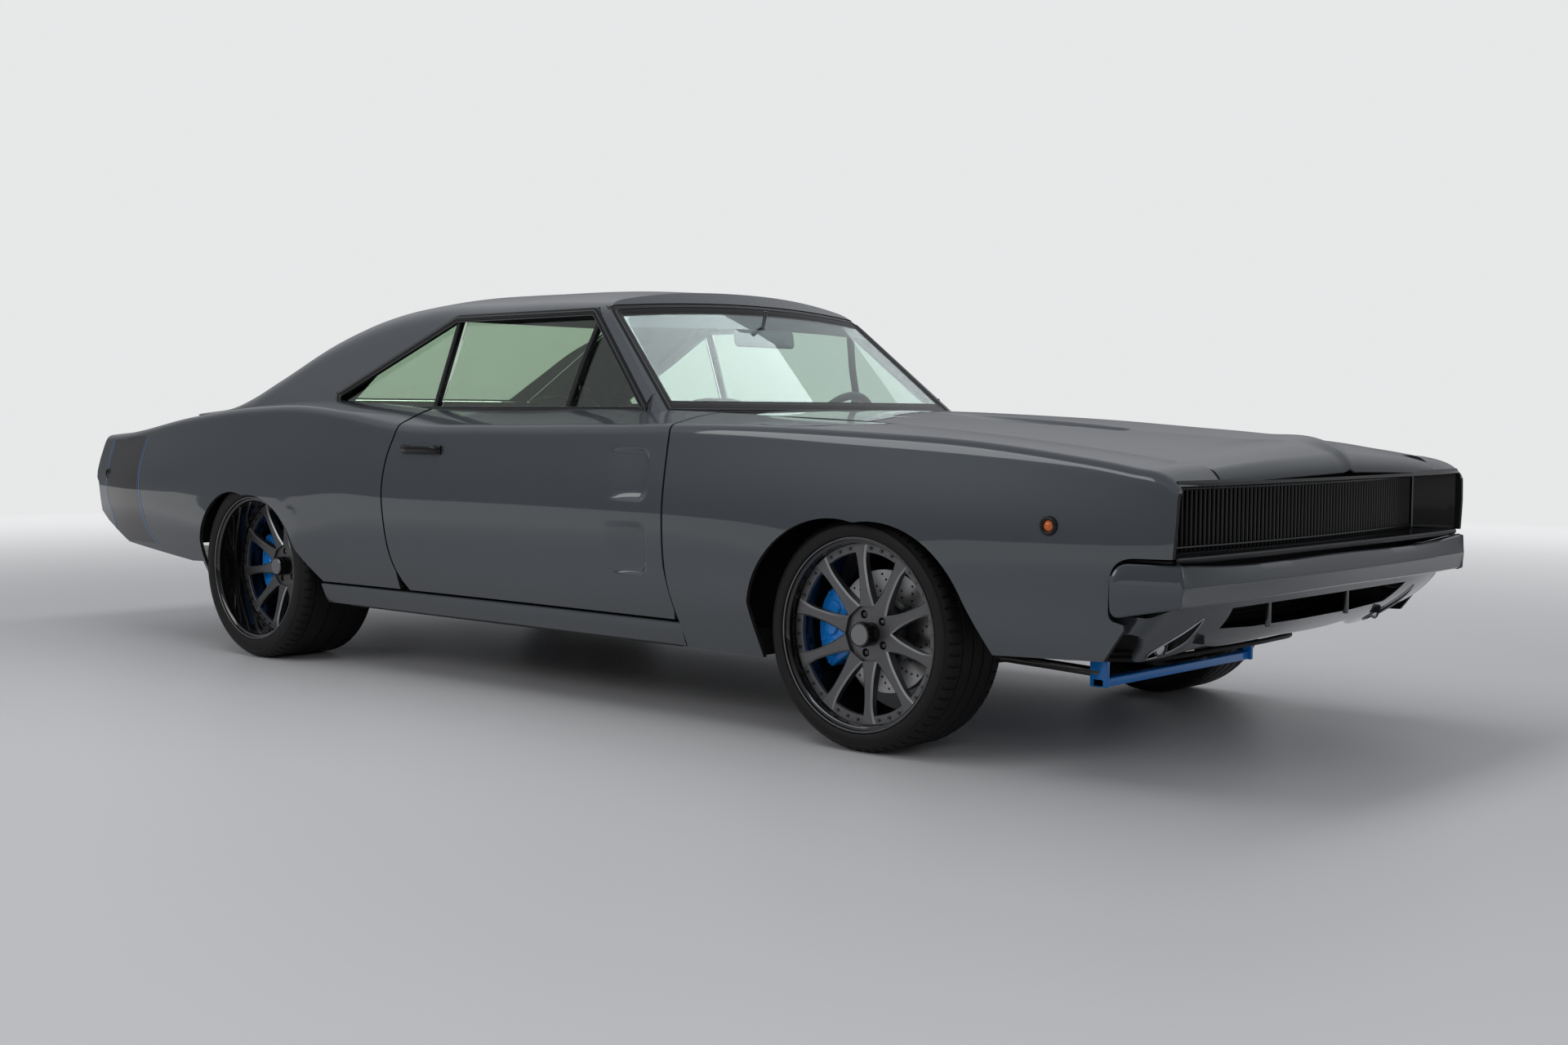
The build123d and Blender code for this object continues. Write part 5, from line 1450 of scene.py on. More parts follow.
class CAR_OT_brakes(Piece, bpy.types.Operator):
    """Drilled brake discs and blue calipers"""
    bl_idname = "car.brakes"
    bl_label = "Brakes"

    def execute(self, context):
        for end, wheel in WHEELS.items():
            disc = -wheel["disc"]
            plate = tidy(wheel_spin("plate", wheel, [
                (0.100, disc + 0.014), (0.101, disc + 0.016), (0.1765, disc + 0.016), (0.178, disc + 0.0145),
                (0.178, disc - 0.0145), (0.1765, disc - 0.016), (0.101, disc - 0.016), (0.100, disc - 0.014),
                (0.100, disc + 0.014)], 96))
            drills = []
            for r, phase in ((0.116, 0), (0.132, 5), (0.148, 10), (0.164, 15)):
                drills += [tidy(wheel_stud("drill", wheel, r, phase + 20 * k, 0.0037, disc - 0.03,
                                           disc + 0.03, 8), 1e-7)
                           for k in range(18)]
            carve(plate, joined("drills", drills))
            hat = wheel_spin("hat", wheel, [(0.000, disc + 0.052), (0.070, disc + 0.052),
                                            (0.078, disc + 0.046), (0.083, disc + 0.014),
                                            (0.101, disc + 0.010), (0.101, disc - 0.006)], 72)
            smooth_shape(painted(plate, "disc"), 30)
            painted(hat, "dark_metal")
            hang_pair(joined("brake", [plate, hat]), f"brake_shape_{end}", f"wheel_{end}_" + "{}", "disc",
                      f"brake_disc_{end}")
            outline = []
            for degrees in range(-33, 34, 6):
                outline.append((0.224 - 0.012 * (degrees / 33)**4, 180 + degrees))
            for degrees in range(33, -34, -6):
                outline.append((0.120 + 0.010 * (degrees / 33)**2, 180 + degrees))
            points = [beside(wheel, r, a) for r, a in outline]
            shell = prism("caliper", points, wheel["lip"] + disc - 0.050, wheel["lip"] + disc + 0.046)
            inner = [beside(wheel, r, a) for r, a in ((0.184, 140), (0.184, 160), (0.184, 180), (0.184, 200),
                                                      (0.184, 220), (0.100, 230), (0.060, 180), (0.100, 130))]
            carve(shell, prism("slot", inner, wheel["lip"] + disc - 0.019, wheel["lip"] + disc + 0.019))
            eased(tidy(shell), 0.006, 3, 40)
            bosses = [tidy(wheel_stud("piston", wheel, 0.176, 180 + a, 0.024, disc + 0.030, disc + 0.052,
                                      28), TIGHT)
                      for a in (-19, 0, 19)]
            bosses += [tidy(wheel_stud("caliper_bolt", wheel, 0.206, 180 + a, 0.007, disc + 0.040,
                                       disc + 0.051, 6), TIGHT)
                       for a in (-29, -10, 10, 29)]
            whole = smooth_shape(joined("caliper", [shell] + bosses), 35)
            hang_pair(painted(whole, "blue"), f"caliper_shape_{end}",
                      "knuckle_{}" if end == "front" else "body", "blue",
                      f"caliper_{end}")
        return {"FINISHED"}


# ---- Sills, glass surrounds, band and handles ----------------------------------------


def inset(outline, lap):
    """A closed outline moved inwards by a lap."""
    count = len(outline)
    area = sum(outline[k][0] * outline[(k + 1) % count][1] - outline[(k + 1) % count][0] * outline[k][1]
               for k in range(count))
    way = 1 if area > 0 else -1
    out = []
    for k in range(count):
        (ax, ay), (bx, by), (cx, cy) = outline[k - 1], outline[k], outline[(k + 1) % count]
        u, v = Vector((bx - ax, by - ay)).normalized(), Vector((cx - bx, cy - by)).normalized()
        n = Vector((-u.y - v.y, u.x + v.x)).normalized() * way
        out.append((bx + n.x * lap / max(n.dot(Vector((-u.y, u.x)) * way), 0.5),
                    by + n.y * lap / max(n.dot(Vector((-u.y, u.x)) * way), 0.5)))
    return out


def frame_strip(name, outline, section, place, finish):
    """A strip along a closed outline; section holds (lap, depth) and place puts a point in space."""
    lines = [inset(outline, lap) for lap, _ in section]
    rings = [[place(*lines[j][k], section[j][1]) for j in range(len(section))] for k in range(len(outline))]
    rings.append(rings[0])
    piece = tidy(loft(name, rings, capped=False), TIGHT)
    return painted(smooth_shape(piece, 35), finish)


class CAR_OT_sills(Piece, bpy.types.Operator):
    """Painted sills under the doors"""
    bl_idname = "car.sills"
    bl_label = "Sills"

    def execute(self, context):
        rings = []
        for x in spread(REAR_AXLE + 0.410, FRONT_AXLE - 0.690, 0.03):
            low, top = 0.2365, DOOR_LOW - GAP
            outer = [(low, 0.034), (low, 0.012), (low + 0.004, 0.003), (low + 0.014, 0.0), (top - 0.030, 0.0),
                     (top - 0.008, 0.0015), (top - 0.002, 0.005), (top, 0.012), (top, 0.034)]
            rings.append([(x, min(skin_y(x, z), WIDEST) - back, z) for z, back in outer])
        piece = tidy(loft("sill_cover", rings), TIGHT)
        smooth_shape(piece, 30)
        hang_pair(painted(piece, "paint"), "sill_cover", "body", "paint")
        return {"FINISHED"}


class CAR_OT_screen_trim(Piece, bpy.types.Operator):
    """Black surround and thin bead of the windshield, and an opaque dark band across its top that is painted
    reflection and shade
    """
    bl_idname = "car.screen_trim"
    bl_label = "Windshield trim"

    def execute(self, context):
        outline = screen_outline(0.001)
        dense = []
        for k in range(len(outline)):
            (ay, az), (by, bz) = outline[k], outline[(k + 1) % len(outline)]
            pieces = max(1, int(math.dist((ay, az), (by, bz)) / 0.05))
            dense += [(ay + (by - ay) * t / pieces, az + (bz - az) * t / pieces) for t in range(pieces)]
        trim = frame_strip("screen_trim", dense, [(0.0, 0.011), (0.0, 0.0035), (0.002, 0.0015),
                                                  (0.012, 0.0010), (0.030, 0.0035), (0.036, 0.0060),
                                                  (0.037, 0.0125), (0.0, 0.0125)],
                           screen_at, "black_trim")
        done(trim, "body", "black_trim")
        line = inset(dense, 0.0125)
        bead = tube("screen_bead", [screen_at(y, z, 0.0008) for y, z in line], 0.0024, 6, closed=True)
        done(painted(bead, "dark_metal"), "body", "black_trim")
        # The band across the windshield's top is an opaque dark sheet: painted dark reflection and shade,
        # where the glass shows the dark ceiling and the headliner behind it.
        rows = []
        for k in range(5):
            z = HEADER - 0.064 - 0.062 * k / 4
            half = TRIM_TOP[0] - 0.020 + (TRIM_TOP[1] - z) * 0.30
            rows.append([screen_at(half * (j / 20 - 1), z - 0.010 * (j / 20 - 1)**2, 0.0124)
                         for j in range(41)])
        band = tidy_open(loft("header_tint", rows, closed=False))
        thickened(band, 0.0008)
        done(painted(smooth_shape(band, 40), "tint"), "body", "glass")
        return {"FINISHED"}


def on_side(x, z, depth, side=1):
    """A point of the leaning cabin side, sunk by a depth."""
    return (x, side * (lean_y(z) - depth), z)


BELT = 0.942


class CAR_OT_side_window_trim(Piece, bpy.types.Operator):
    """Black surrounds, vent window, dividers and belt strips of the side glass"""
    bl_idname = "car.side_window_trim"
    bl_label = "Side window trim"

    def execute(self, context):
        belt = [(WINDOW[0][0], BELT), *[p for p in WINDOW if p[1] > BELT], (WINDOW[-1][0], BELT)]
        soft = rounded(belt, 0.016, 4)
        surround = frame_strip("window_surround", soft,
                               [(0.001, 0.012), (0.001, -0.0015), (0.004, -0.0035), (0.020, -0.0035),
                                (0.026, 0.001), (0.027, 0.022), (0.001, 0.022)],
                               on_side, "black_trim")
        hang_pair(surround, "window_surround", "body", "black_trim")
        bead = tube("window_bead", [on_side(x, z, -0.004) for x, z in inset(soft, 0.011)], 0.0022, 6,
                    closed=True)
        hang_pair(painted(bead, "dark_metal"), "window_bead", "body", "black_trim")
        edge = tube("window_edge", [on_side(x, z, -0.001) for x, z in inset(soft, 0.026)], 0.0018, 6,
                    closed=True)
        hang_pair(painted(edge, "dark_metal"), "window_edge", "body", "black_trim")

        bars = []
        for (ax, az), (mx, mz), (bx, bz), wide in (
                ((0.2545, BELT), (0.272, 1.120), (0.3035, RAIL - 0.040), 0.011),
                ((-0.4535, BELT), (-0.4535, 1.1), (-0.4535, RAIL - 0.030), 0.010)):
            path = [(ax + (mx - ax) * t / 4, az + (mz - az) * t / 4) for t in range(4)]
            path += [(mx + (bx - mx) * t / 4, mz + (bz - mz) * t / 4) for t in range(5)]
            rings = []
            for x, z in path:
                rings.append([on_side(x - wide, z, 0.024), on_side(x - wide, z, 0.005),
                              on_side(x - wide + 0.003, z, 0.002),
                              on_side(x + wide - 0.003, z, 0.002), on_side(x + wide, z, 0.005),
                              on_side(x + wide, z, 0.024)])
            bars.append(smooth_shape(tidy(loft("divider", rings), TIGHT), 30))
        vent = bars[0]
        hang_pair(painted(bars[1], "black_trim"), "quarter_divider", "body", "black_trim")
        latch = box("latch", (0.262, 0.300), (lean_y(1.02) - 0.050, lean_y(1.02) - 0.034), (1.012, 1.032),
                    0.004)
        arm = box("latch", (0.270, 0.284), (lean_y(1.02) - 0.046, lean_y(1.02) - 0.018), (0.985, 1.040),
                  0.004)
        hang_joined("vent_frame", [vent, latch, arm], "black_trim", "door_{}", "black_trim")
        for start, end, body in ((-0.430, 0.640, "door_{}"), (-1.030, -0.440, "body")):
            rings = []
            for x in spread(start, end, 0.05):
                y = lean_y(BELT)
                rings.append([(x, y - 0.020, BELT - 0.004), (x, y + 0.006, BELT - 0.004),
                              (x, y + 0.0075, BELT + 0.002), (x, y + 0.006, BELT + 0.010),
                              (x, y - 0.012, BELT + 0.012), (x, y - 0.020, BELT + 0.010)])
            strip = smooth_shape(tidy(loft("belt_strip", rings), TIGHT), 30)
            hang_pair(painted(strip, "black_trim"), "belt_strip_" + body[:4], body, "black_trim")
        return {"FINISHED"}


class CAR_OT_handles(Piece, bpy.types.Operator):
    """Black pull handles with their feet, and door locks"""
    bl_idname = "car.handles"
    bl_label = "Door handles"

    def execute(self, context):
        x0, x1, z = -0.4245, -0.2085, 0.819
        y = skin_y(-0.31, z)
        section = [(0, 0.0125), (0.004, 0.0110), (0.006, 0.0060), (0.006, -0.0060), (0.004, -0.0110),
                   (0, -0.0125), (-0.003, -0.008), (-0.003, 0.008)]
        rings = []
        for x, out, size in ((x0, 0.000, 0.8), (x0 + 0.004, 0.010, 0.95), (x0 + 0.016, 0.017, 1.0),
                             (x0 + 0.050, 0.0195, 1.0), (x0 + 0.108, 0.0205, 1.0), (x1 - 0.050, 0.0195, 1.0),
                             (x1 - 0.016, 0.017, 1.0), (x1 - 0.004, 0.010, 0.95), (x1, 0.000, 0.8)):
            rings.append([(x, min(y + out * 0.9 + o * size * 0.7, WIDEST), z + h * size) for o, h in section])
        grip = smooth_shape(tidy(loft("grip", rings), TIGHT), 45)
        feet = [box("foot", (x - 0.020, x + 0.020), (y - 0.006, y + 0.008), (z - 0.0155, z + 0.0155), 0.004)
                for x in (x0 + 0.018, x1 - 0.018)]
        lock = turned("lock", [(0.0, 0.003), (0.0085, 0.003), (0.0095, 0.0015), (0.0098, -0.004)], 24,
                      (x0 + 0.016, y, z - 0.045))
        hang_pair(painted(joined("door_handle", [grip] + feet), "black_trim"), "door_handle", "door_{}",
                  "black_trim")
        hang_pair(painted(lock, "black_trim"), "door_lock", "door_{}", "black_trim")
        return {"FINISHED"}


BAND_FRONT = [(0.399, -2.0425), (0.443, -2.1155), (0.535, -2.1705), (0.634, -2.2015), (0.752, -2.1985),
              (0.882, -2.1525)]
BAND_REAR = [(0.399, -2.440), (0.514, -2.4905), (0.579, -2.5335), (0.682, -2.5385), (0.758, -2.5285),
             (0.839, -2.4935), (0.882, -2.470)]


class CAR_OT_tail_band(Piece, bpy.types.Operator):
    """A darker band over the rear quarters between two thin lines"""
    bl_idname = "car.tail_band"
    bl_label = "Tail band"

    def execute(self, context):
        for name, spans, proud, finish in (
                ("tail_band", [(BAND_FRONT, 0.0, BAND_REAR, 0.0)], 0.0007, "band"),
                ("band_lines",
                 [(BAND_FRONT, 0.0, BAND_FRONT, -0.007), (BAND_REAR, 0.007, BAND_REAR, 0.0),
                  (BAND_FRONT, -0.016, BAND_FRONT, -0.019), (BAND_REAR, 0.019, BAND_REAR, 0.016)],
                 0.0012, "line_blue")):
            pieces = []
            for front, front_off, rear, rear_off in spans:
                rings = []
                for height in [k / 40 for k in range(41)]:
                    z = 0.405 + (0.845 - 0.405) * height
                    start, end = smooth(front, z)[0] + front_off, smooth(rear, z)[0] + rear_off
                    columns = 12 if finish == "band" else 2
                    row = []
                    for k in range(columns + 1):
                        x = start + (end - start) * k / columns
                        face, _, crease_z, _, _ = side_at(x)
                        y = smooth(face, min(z, crease_z - CREASE_TURN))[0]
                        row.append((x, min(y + proud, WIDEST + 0.0003), min(z, crease_z - 0.022)))
                    rings.append(row)
                sheet = tidy_open(loft(name, rings, closed=False))
                pieces.append(thickened(sheet, 0.0016))
            whole = joined(name, [tidy(p, TIGHT) for p in pieces])
            carve(whole, prism("band_edge", QUARTER, *PANEL_REACH), "INTERSECT")
            hang_pair(painted(smooth_shape(whole, 40), finish), name, "body", "paint")
        return {"FINISHED"}


# ---- Cabin ---------------------------------------------------------------------------


def cushion(name, xs, ys, zs, bulge, lean=0.0, channels=0):
    """A padded block: full in the middle, drawn in at its corners, with sewn channels across it."""
    alone()
    bpy.ops.mesh.primitive_cube_add(size=1)
    piece = bpy.context.object
    piece.name = piece.data.name = name
    bpy.ops.object.mode_set(mode="EDIT")
    bpy.ops.mesh.select_all(action="SELECT")
    bpy.ops.mesh.subdivide(number_cuts=13)
    bpy.ops.object.mode_set(mode="OBJECT")
    size = Vector((xs[1] - xs[0], ys[1] - ys[0], zs[1] - zs[0]))
    middle = Vector((sum(xs) / 2, sum(ys) / 2, sum(zs) / 2))
    for v in piece.data.vertices:
        p = v.co * 2
        full = [1 - 0.16 * (p[(k + 1) % 3]**4 + p[(k + 2) % 3]**4) * 0.5 for k in range(3)]
        push = Vector([p[k] * full[k] for k in range(3)])
        out = (1 - p.y**2) * bulge
        if channels:
            out -= 0.006 * max(0, 1 - abs(math.sin(channels * math.pi * (p.y + 1) / 2)) * 6)
        push.x += out * (1 if p.x > 0 else -1) * abs(p.x) / size.x * 2
        push.z += out * (1 if p.z > 0 else 0) * abs(p.z) / size.z * 2
        spot = middle + Vector([push[k] * size[k] / 2 for k in range(3)])
        v.co = spot + Vector((lean * push.z * size.z / 2, 0, 0))
    soft = piece.modifiers.new("soft", "SUBSURF")
    soft.levels = soft.render_levels = 1
    alone(piece)
    bpy.ops.object.modifier_apply(modifier=soft.name)
    return smooth_shape(piece, 60)


class CAR_OT_seats(Piece, bpy.types.Operator):
    """Padded front seats and rear bench with sewn channels"""
    bl_idname = "car.seats"
    bl_label = "Seats"

    def execute(self, context):
        fronts = []
        for side in (1, -1):
            y = side * 0.400
            fronts.append(cushion("seat", (-0.130, 0.345), (y - 0.170, y + 0.170), (0.360, 0.500), 0.010, 0,
                                  4))
            fronts.append(cushion("back", (-0.205, -0.085), (y - 0.170, y + 0.170), (0.450, 1.000), 0.010,
                                  -0.10, 4))
            for edge in (1, -1):
                yy = y + edge * 0.200
                fronts.append(cushion("bolster", (-0.130, 0.340), (yy - 0.036, yy + 0.036), (0.350, 0.520),
                                      0.006))
                fronts.append(cushion("bolster", (-0.205, -0.060), (yy - 0.036, yy + 0.036), (0.450, 0.960),
                                      0.006, -0.10))
            fronts.append(cushion("base", (-0.120, 0.330), (y - 0.210, y + 0.210), (0.290, 0.380), 0.0))
        seats = painted(joined("front_seat_pads", fronts), "leather")
        done(seats, "body", "seat", "front_seats")
        rear = []
        for side in (1, -1):
            y = side * 0.275
            rear.append(cushion("seat", (-0.880, -0.520), (y - 0.270, y + 0.270), (0.330, 0.500), 0.012, 0,
                                5))
            rear.append(cushion("back", (-0.915, -0.790), (y - 0.270, y + 0.270), (0.480, 0.880), 0.010,
                                -0.06, 5))
        bench = painted(joined("rear_seat_pads", rear), "leather")
        done(bench, "body", "seat", "rear_seat")
        return {"FINISHED"}


MIRROR_AT = (0.475, -0.035, 1.210)


class CAR_OT_cabin(Piece, bpy.types.Operator):
    """Dashboard, steering wheel, mirror, console and cabin trim"""
    bl_idname = "car.cabin"
    bl_label = "Cabin"

    def execute(self, context):
        rings = []
        for k in range(61):
            y = 0.704 * (k / 30 - 1)
            hood = 0.022 * ramp(0.14, 0.20, y) * (1 - ramp(0.54, 0.60, y))
            top = 0.925 - 0.014 * (y / 0.7)**2
            line = [(0.715, 0.700), (0.7155, top - 0.012), (0.712, top - 0.002), (0.700, top),
                    (0.660, top + 0.002), (0.628 - hood, top - 0.002 + hood * 0.3),
                    (0.614 - hood, top - 0.010), (0.610 - hood, top - 0.022), (0.626, top - 0.034),
                    (0.632, 0.800), (0.622, 0.770), (0.608, 0.700), (0.620, 0.665), (0.700, 0.662)]
            rings.append([(x, y, z) for x, z in line])
        dash = smooth_shape(tidy(loft("dash_shape", rings), TIGHT), 40)
        done(painted(dash, "grained"), "body", "seat", "dashboard")
        rounds = []
        for y, size in ((0.300, 0.045), (0.420, 0.045), (0.520, 0.028), (0.215, 0.028)):
            ring = [(0.622, y + size * math.cos(a), 0.845 + size * math.sin(a)) for a in turns(32)]
            rounds.append(tube("dial_ring", ring, 0.0028, 8, closed=True))
        finished("dial_rings", rounds, "dark_metal", "body", "seat")

        centre, axis = Vector((0.4765, 0.370, 0.860)), Vector((-0.9, 0, 0.43)).normalized()
        across = Vector((0, 1, 0))
        over = axis.cross(across)
        loop = [centre + (across * math.cos(a) + over * math.sin(a)) * 0.172 for a in turns(72)]
        parts = [tube("wheel_rim", loop, 0.0145, 14, closed=True)]
        painted(parts[0], "leather")
        spokes = []
        for degrees in (0, 180, 270):
            a = math.radians(degrees)
            way = across * math.cos(a) + over * math.sin(a)
            spokes.append(tube("wheel_spoke", [centre - axis * 0.035 + way * 0.02,
                                               centre - axis * 0.03 + way * 0.08,
                                               centre + way * 0.168], [0.010, 0.009, 0.006], 10))
        spokes.append(tube("wheel_hub", [centre - axis * 0.060, centre - axis * 0.040, centre - axis * 0.022,
                                         centre - axis * 0.020],
                           [0.036, 0.036, 0.034, 0.026], 28))
        spokes.append(tube("column", [centre - axis * 0.055, centre - axis * 0.180], 0.024, 20))
        painted(joined("wheel_spokes", spokes), "dark_metal")
        wheel = joined("steering_wheel_shape", [parts[0], bpy.data.objects["wheel_spokes"]])
        done(wheel, "body", "trim", "steering_wheel")

        glass = Vector(MIRROR_AT)
        half = context.scene.car_sizes.mirror_width / 2
        back = []
        for depth, share in ((0.020, 0.55), (0.014, 0.86), (0.004, 0.98), (0.0, 1.0), (-0.004, 0.985)):
            line = rounded([(-half * share, -0.031 * share), (half * share, -0.031 * share),
                            (half * share, 0.031 * share), (-half * share, 0.031 * share)], 0.020 * share, 6)
            back.append([(glass.x + depth - 0.004 * h / 0.03, glass.y + w, glass.z + h) for w, h in line])
        housing = painted(smooth_shape(tidy(loft("mirror_housing", back), TIGHT), 40), "mirror_grey")
        stem = tube("mirror_stem", [glass + Vector((-0.002, 0, 0)), glass + Vector((-0.006, 0, 0.045)),
                                    glass + Vector((0.008, 0, 0.100))],
                    [0.007, 0.006, 0.008], 12)
        done(joined("interior_mirror", [housing, painted(stem, "dark_metal")]), "body", "trim")

        trim = [box("console", (-0.200, 0.560), (-0.085, 0.085), (0.330, 0.455), 0.020, 4),
                box("shifter_base", (0.180, 0.300), (-0.050, 0.050), (0.450, 0.466), 0.008, 3)]
        finished("console", trim, "grained", "body", "seat")
        knob = tube("shifter", [(0.240, 0, 0.460), (0.232, 0, 0.560), (0.228, 0, 0.600), (0.226, 0, 0.625),
                                (0.225, 0, 0.640)],
                    [0.007, 0.006, 0.014, 0.021, 0.010], 16)
        done(painted(knob, "dark_metal"), "body", "trim")

        door = [box("arm_rest", (-0.180, 0.220), (0.722, 0.788), (0.640, 0.680), 0.014, 4),
                box("map_pocket", (-0.300, 0.500), (0.762, 0.789), (0.380, 0.560), 0.012, 3)]
        handle = tube("inner_handle", [(0.330, 0.789, 0.760), (0.330, 0.765, 0.760), (0.250, 0.762, 0.756)],
                      0.007, 10)
        winder = turned("winder", [(0.0, -0.020), (0.016, -0.020), (0.018, -0.012), (0.018, 0.0)], 24,
                        (0.340, 0.785, 0.640))
        hang_joined("door_inner", door, "door_trim", "door_{}", "seat")
        hang_joined("door_inner_metal", [handle, winder], "dark_metal", "door_{}", "trim")
        return {"FINISHED"}


class CAR_OT_underside(Piece, bpy.types.Operator):
    """Blue crossbar, steel tubes and hoses under the nose"""
    bl_idname = "car.underside"
    bl_label = "Underside"

    def execute(self, context):
        bars = [box("crossbar", (FRONT_AXLE + 0.470, FRONT_AXLE + 0.508), (-0.430, 0.430), (0.184, 0.210),
                    0.004, 3)]
        for side in (1, -1):
            bars.append(box("crossbar_upright", (FRONT_AXLE + 0.460, FRONT_AXLE + 0.518),
                            sorted((side * 0.416, side * 0.430)),
                            (0.184, 0.285), 0.003))
            bars.append(box("cross_member", (FRONT_AXLE - 0.060, FRONT_AXLE + 0.060),
                            sorted((side * 0.020, side * 0.380)),
                            (0.215, 0.275), 0.012, 3))
        finished("blue_crossbar", bars, "blue", "body", "blue", "front_subframe")
        tubes, arms = [], []
        for side in (1, -1):
            tubes.append(tube("brace", bend_3d([(FRONT_AXLE + 0.490, side * 0.418, 0.225),
                                                (FRONT_AXLE + 0.300, side * 0.412, 0.232),
                                                (FRONT_AXLE + 0.050, side * 0.405, 0.240)], 6),
                              context.scene.car_sizes.brace, 14))
            for x in (-0.150, 0.150):
                arms.append(tube("lower_arm", [(FRONT_AXLE + x, side * 0.350, 0.235),
                                               (FRONT_AXLE, side * 0.640, 0.225)], 0.016, 12))
                arms.append(tube("upper_arm", [(FRONT_AXLE + x * 0.7, side * 0.390, 0.500),
                                               (FRONT_AXLE, side * 0.640, 0.470)], 0.012, 12))
            coil = [(FRONT_AXLE + 0.048 * math.cos(a), side * 0.500 + 0.048 * math.sin(a), 0.260 + 0.0075 * a)
                    for a in [k * math.pi / 8 for k in range(81)]]
            arms.append(tube("spring", coil, 0.006, 6))
        finished("steel_braces", tubes, "exhaust", "body", "steel")
        finished("suspension_arms", arms, "steel", "body", "steel")
        hoses = []
        for height, ahead_x in ((0.290, 0.640), (0.304, 0.600)):
            hoses.append(tube("hose", bend_3d([(FRONT_AXLE + 0.420, -0.500, height - 0.020),
                                               (FRONT_AXLE + ahead_x, -0.420, height - 0.012),
                                               (FRONT_AXLE + ahead_x + 0.080, -0.150, height),
                                               (FRONT_AXLE + ahead_x + 0.080, 0.150, height),
                                               (FRONT_AXLE + ahead_x, 0.420, height - 0.012),
                                               (FRONT_AXLE + 0.420, 0.500, height - 0.020)], 8),
                              0.008, 12))
        finished("hoses", hoses, "black_rubber", "body", "black_trim")
        return {"FINISHED"}


# ---- Stage ---------------------------------------------------------------------------
CAMERA_AT = (4.8956, -4.8787, 0.9474)
CAMERA_TURN = (41.7387, 3.3474, 0.3091)
BACKDROP, FILL = (0.80, 0.805, 0.81, 1), (0.46, 0.47, 0.49, 1)
LOW_SKY, HIGH_SKY = (0.16, 0.165, 0.175, 1), (0.52, 0.53, 0.55, 1)
FLOOR_SIZE, FLOOR_FADE = 160, (2.8, 12.0)
# name, place, size, power
LIGHTS = (("top", (0.4, 0.0, 4.6), (7.5, 1.3), 150), ("front", (6.0, -4.5, 3.4), (3, 2), 60),
          ("near", (-2.0, -7.0, 3.6), (6, 2), 120), ("far", (0.0, 7.0, 3.6), (6, 2), 60))


class CAR_OT_stage(Piece, bpy.types.Operator):
    """Floor, soft light, pale surroundings and the camera"""
    bl_idname = "car.stage"
    bl_label = "Stage"

    def execute(self, context):
        scene = context.scene
        azimuth, height, roll = map(math.radians, CAMERA_TURN)
        back = Vector((math.sin(azimuth) * math.cos(height), -math.cos(azimuth) * math.cos(height),
                       math.sin(height)))
        right = Vector((0, 0, 1)).cross(back).normalized()
        up = back.cross(right)
        right, up = (math.cos(roll) * right + math.sin(roll) * up,
                     -math.sin(roll) * right + math.cos(roll) * up)
        camera = bpy.data.objects.new("camera", bpy.data.cameras.new("camera"))
        scene.collection.objects.link(camera)
        sizes = scene.car_sizes
        camera.data.lens, camera.data.sensor_width, camera.data.clip_end = sizes.lens, 36, 200
        place = Matrix((right, up, back)).transposed().to_4x4()
        place.translation = Vector(CAMERA_AT)
        camera.matrix_world = place
        scene.camera = camera
        scene.view_settings.view_transform = "Standard"

        alone()
        bpy.ops.mesh.primitive_plane_add(size=FLOOR_SIZE)
        floor = context.object
        floor.name = "studio_floor"
        floor.data.materials.append(floor_finish())

        world = bpy.data.worlds.new("studio")
        scene.world = world
        world.use_nodes = True
        tree = world.node_tree
        path = add_node(tree, "LightPath").outputs
        seen = add_node(tree, "Math", {0: path["Is Camera Ray"], 1: path["Is Transmission Ray"]},
                        operation="MAXIMUM")
        parts = add_node(tree, "SeparateXYZ", {0: add_node(tree, "TexCoord").outputs["Generated"]})
        rise = add_node(tree, "MapRange", {"From Min": -0.02, "From Max": 0.55, "Value": parts.outputs["Z"]},
                        interpolation_type="SMOOTHSTEP")
        sky = blend(tree, rise.outputs["Result"], LOW_SKY, HIGH_SKY)
        lit = blend(tree, path["Is Glossy Ray"], FILL, sky)
        last = blend(tree, seen.outputs[0], lit, BACKDROP)
        tree.links.new(last, tree.nodes["Background"].inputs["Color"])
        for name, at, size, power in LIGHTS:
            light = bpy.data.lights.new(name, "AREA")
            light.shape, light.energy = "RECTANGLE", power * sizes.light
            light.size, light.size_y = size
            lamp = bpy.data.objects.new(name, light)
            scene.collection.objects.link(lamp)
            lamp.location = at
            lamp.visible_glossy = name == "near"
            lamp.rotation_euler = (Vector((0, 0, 0.5)) - Vector(at)).to_track_quat("-Z", "Y").to_euler()
        return {"FINISHED"}


# ---- Finishes ------------------------------------------------------------------------


def add_node(tree, kind, inputs=None, **settings):
    """A node with its settings; each input gets a value or a link from another node's output."""
    node = tree.nodes.new("ShaderNode" + kind)
    for name, value in settings.items():
        setattr(node, name, value)
    for name, value in (inputs or {}).items():
        if isinstance(value, bpy.types.NodeSocket):
            tree.links.new(value, node.inputs[name])
        else:
            node.inputs[name].default_value = value
    return node


def blend(tree, share, low, high):
    """A mix of two colours, each given as values or as another node's output."""
    return add_node(tree, "Mix", {"Factor": share, "A": low, "B": high}, data_type="RGBA").outputs["Result"]


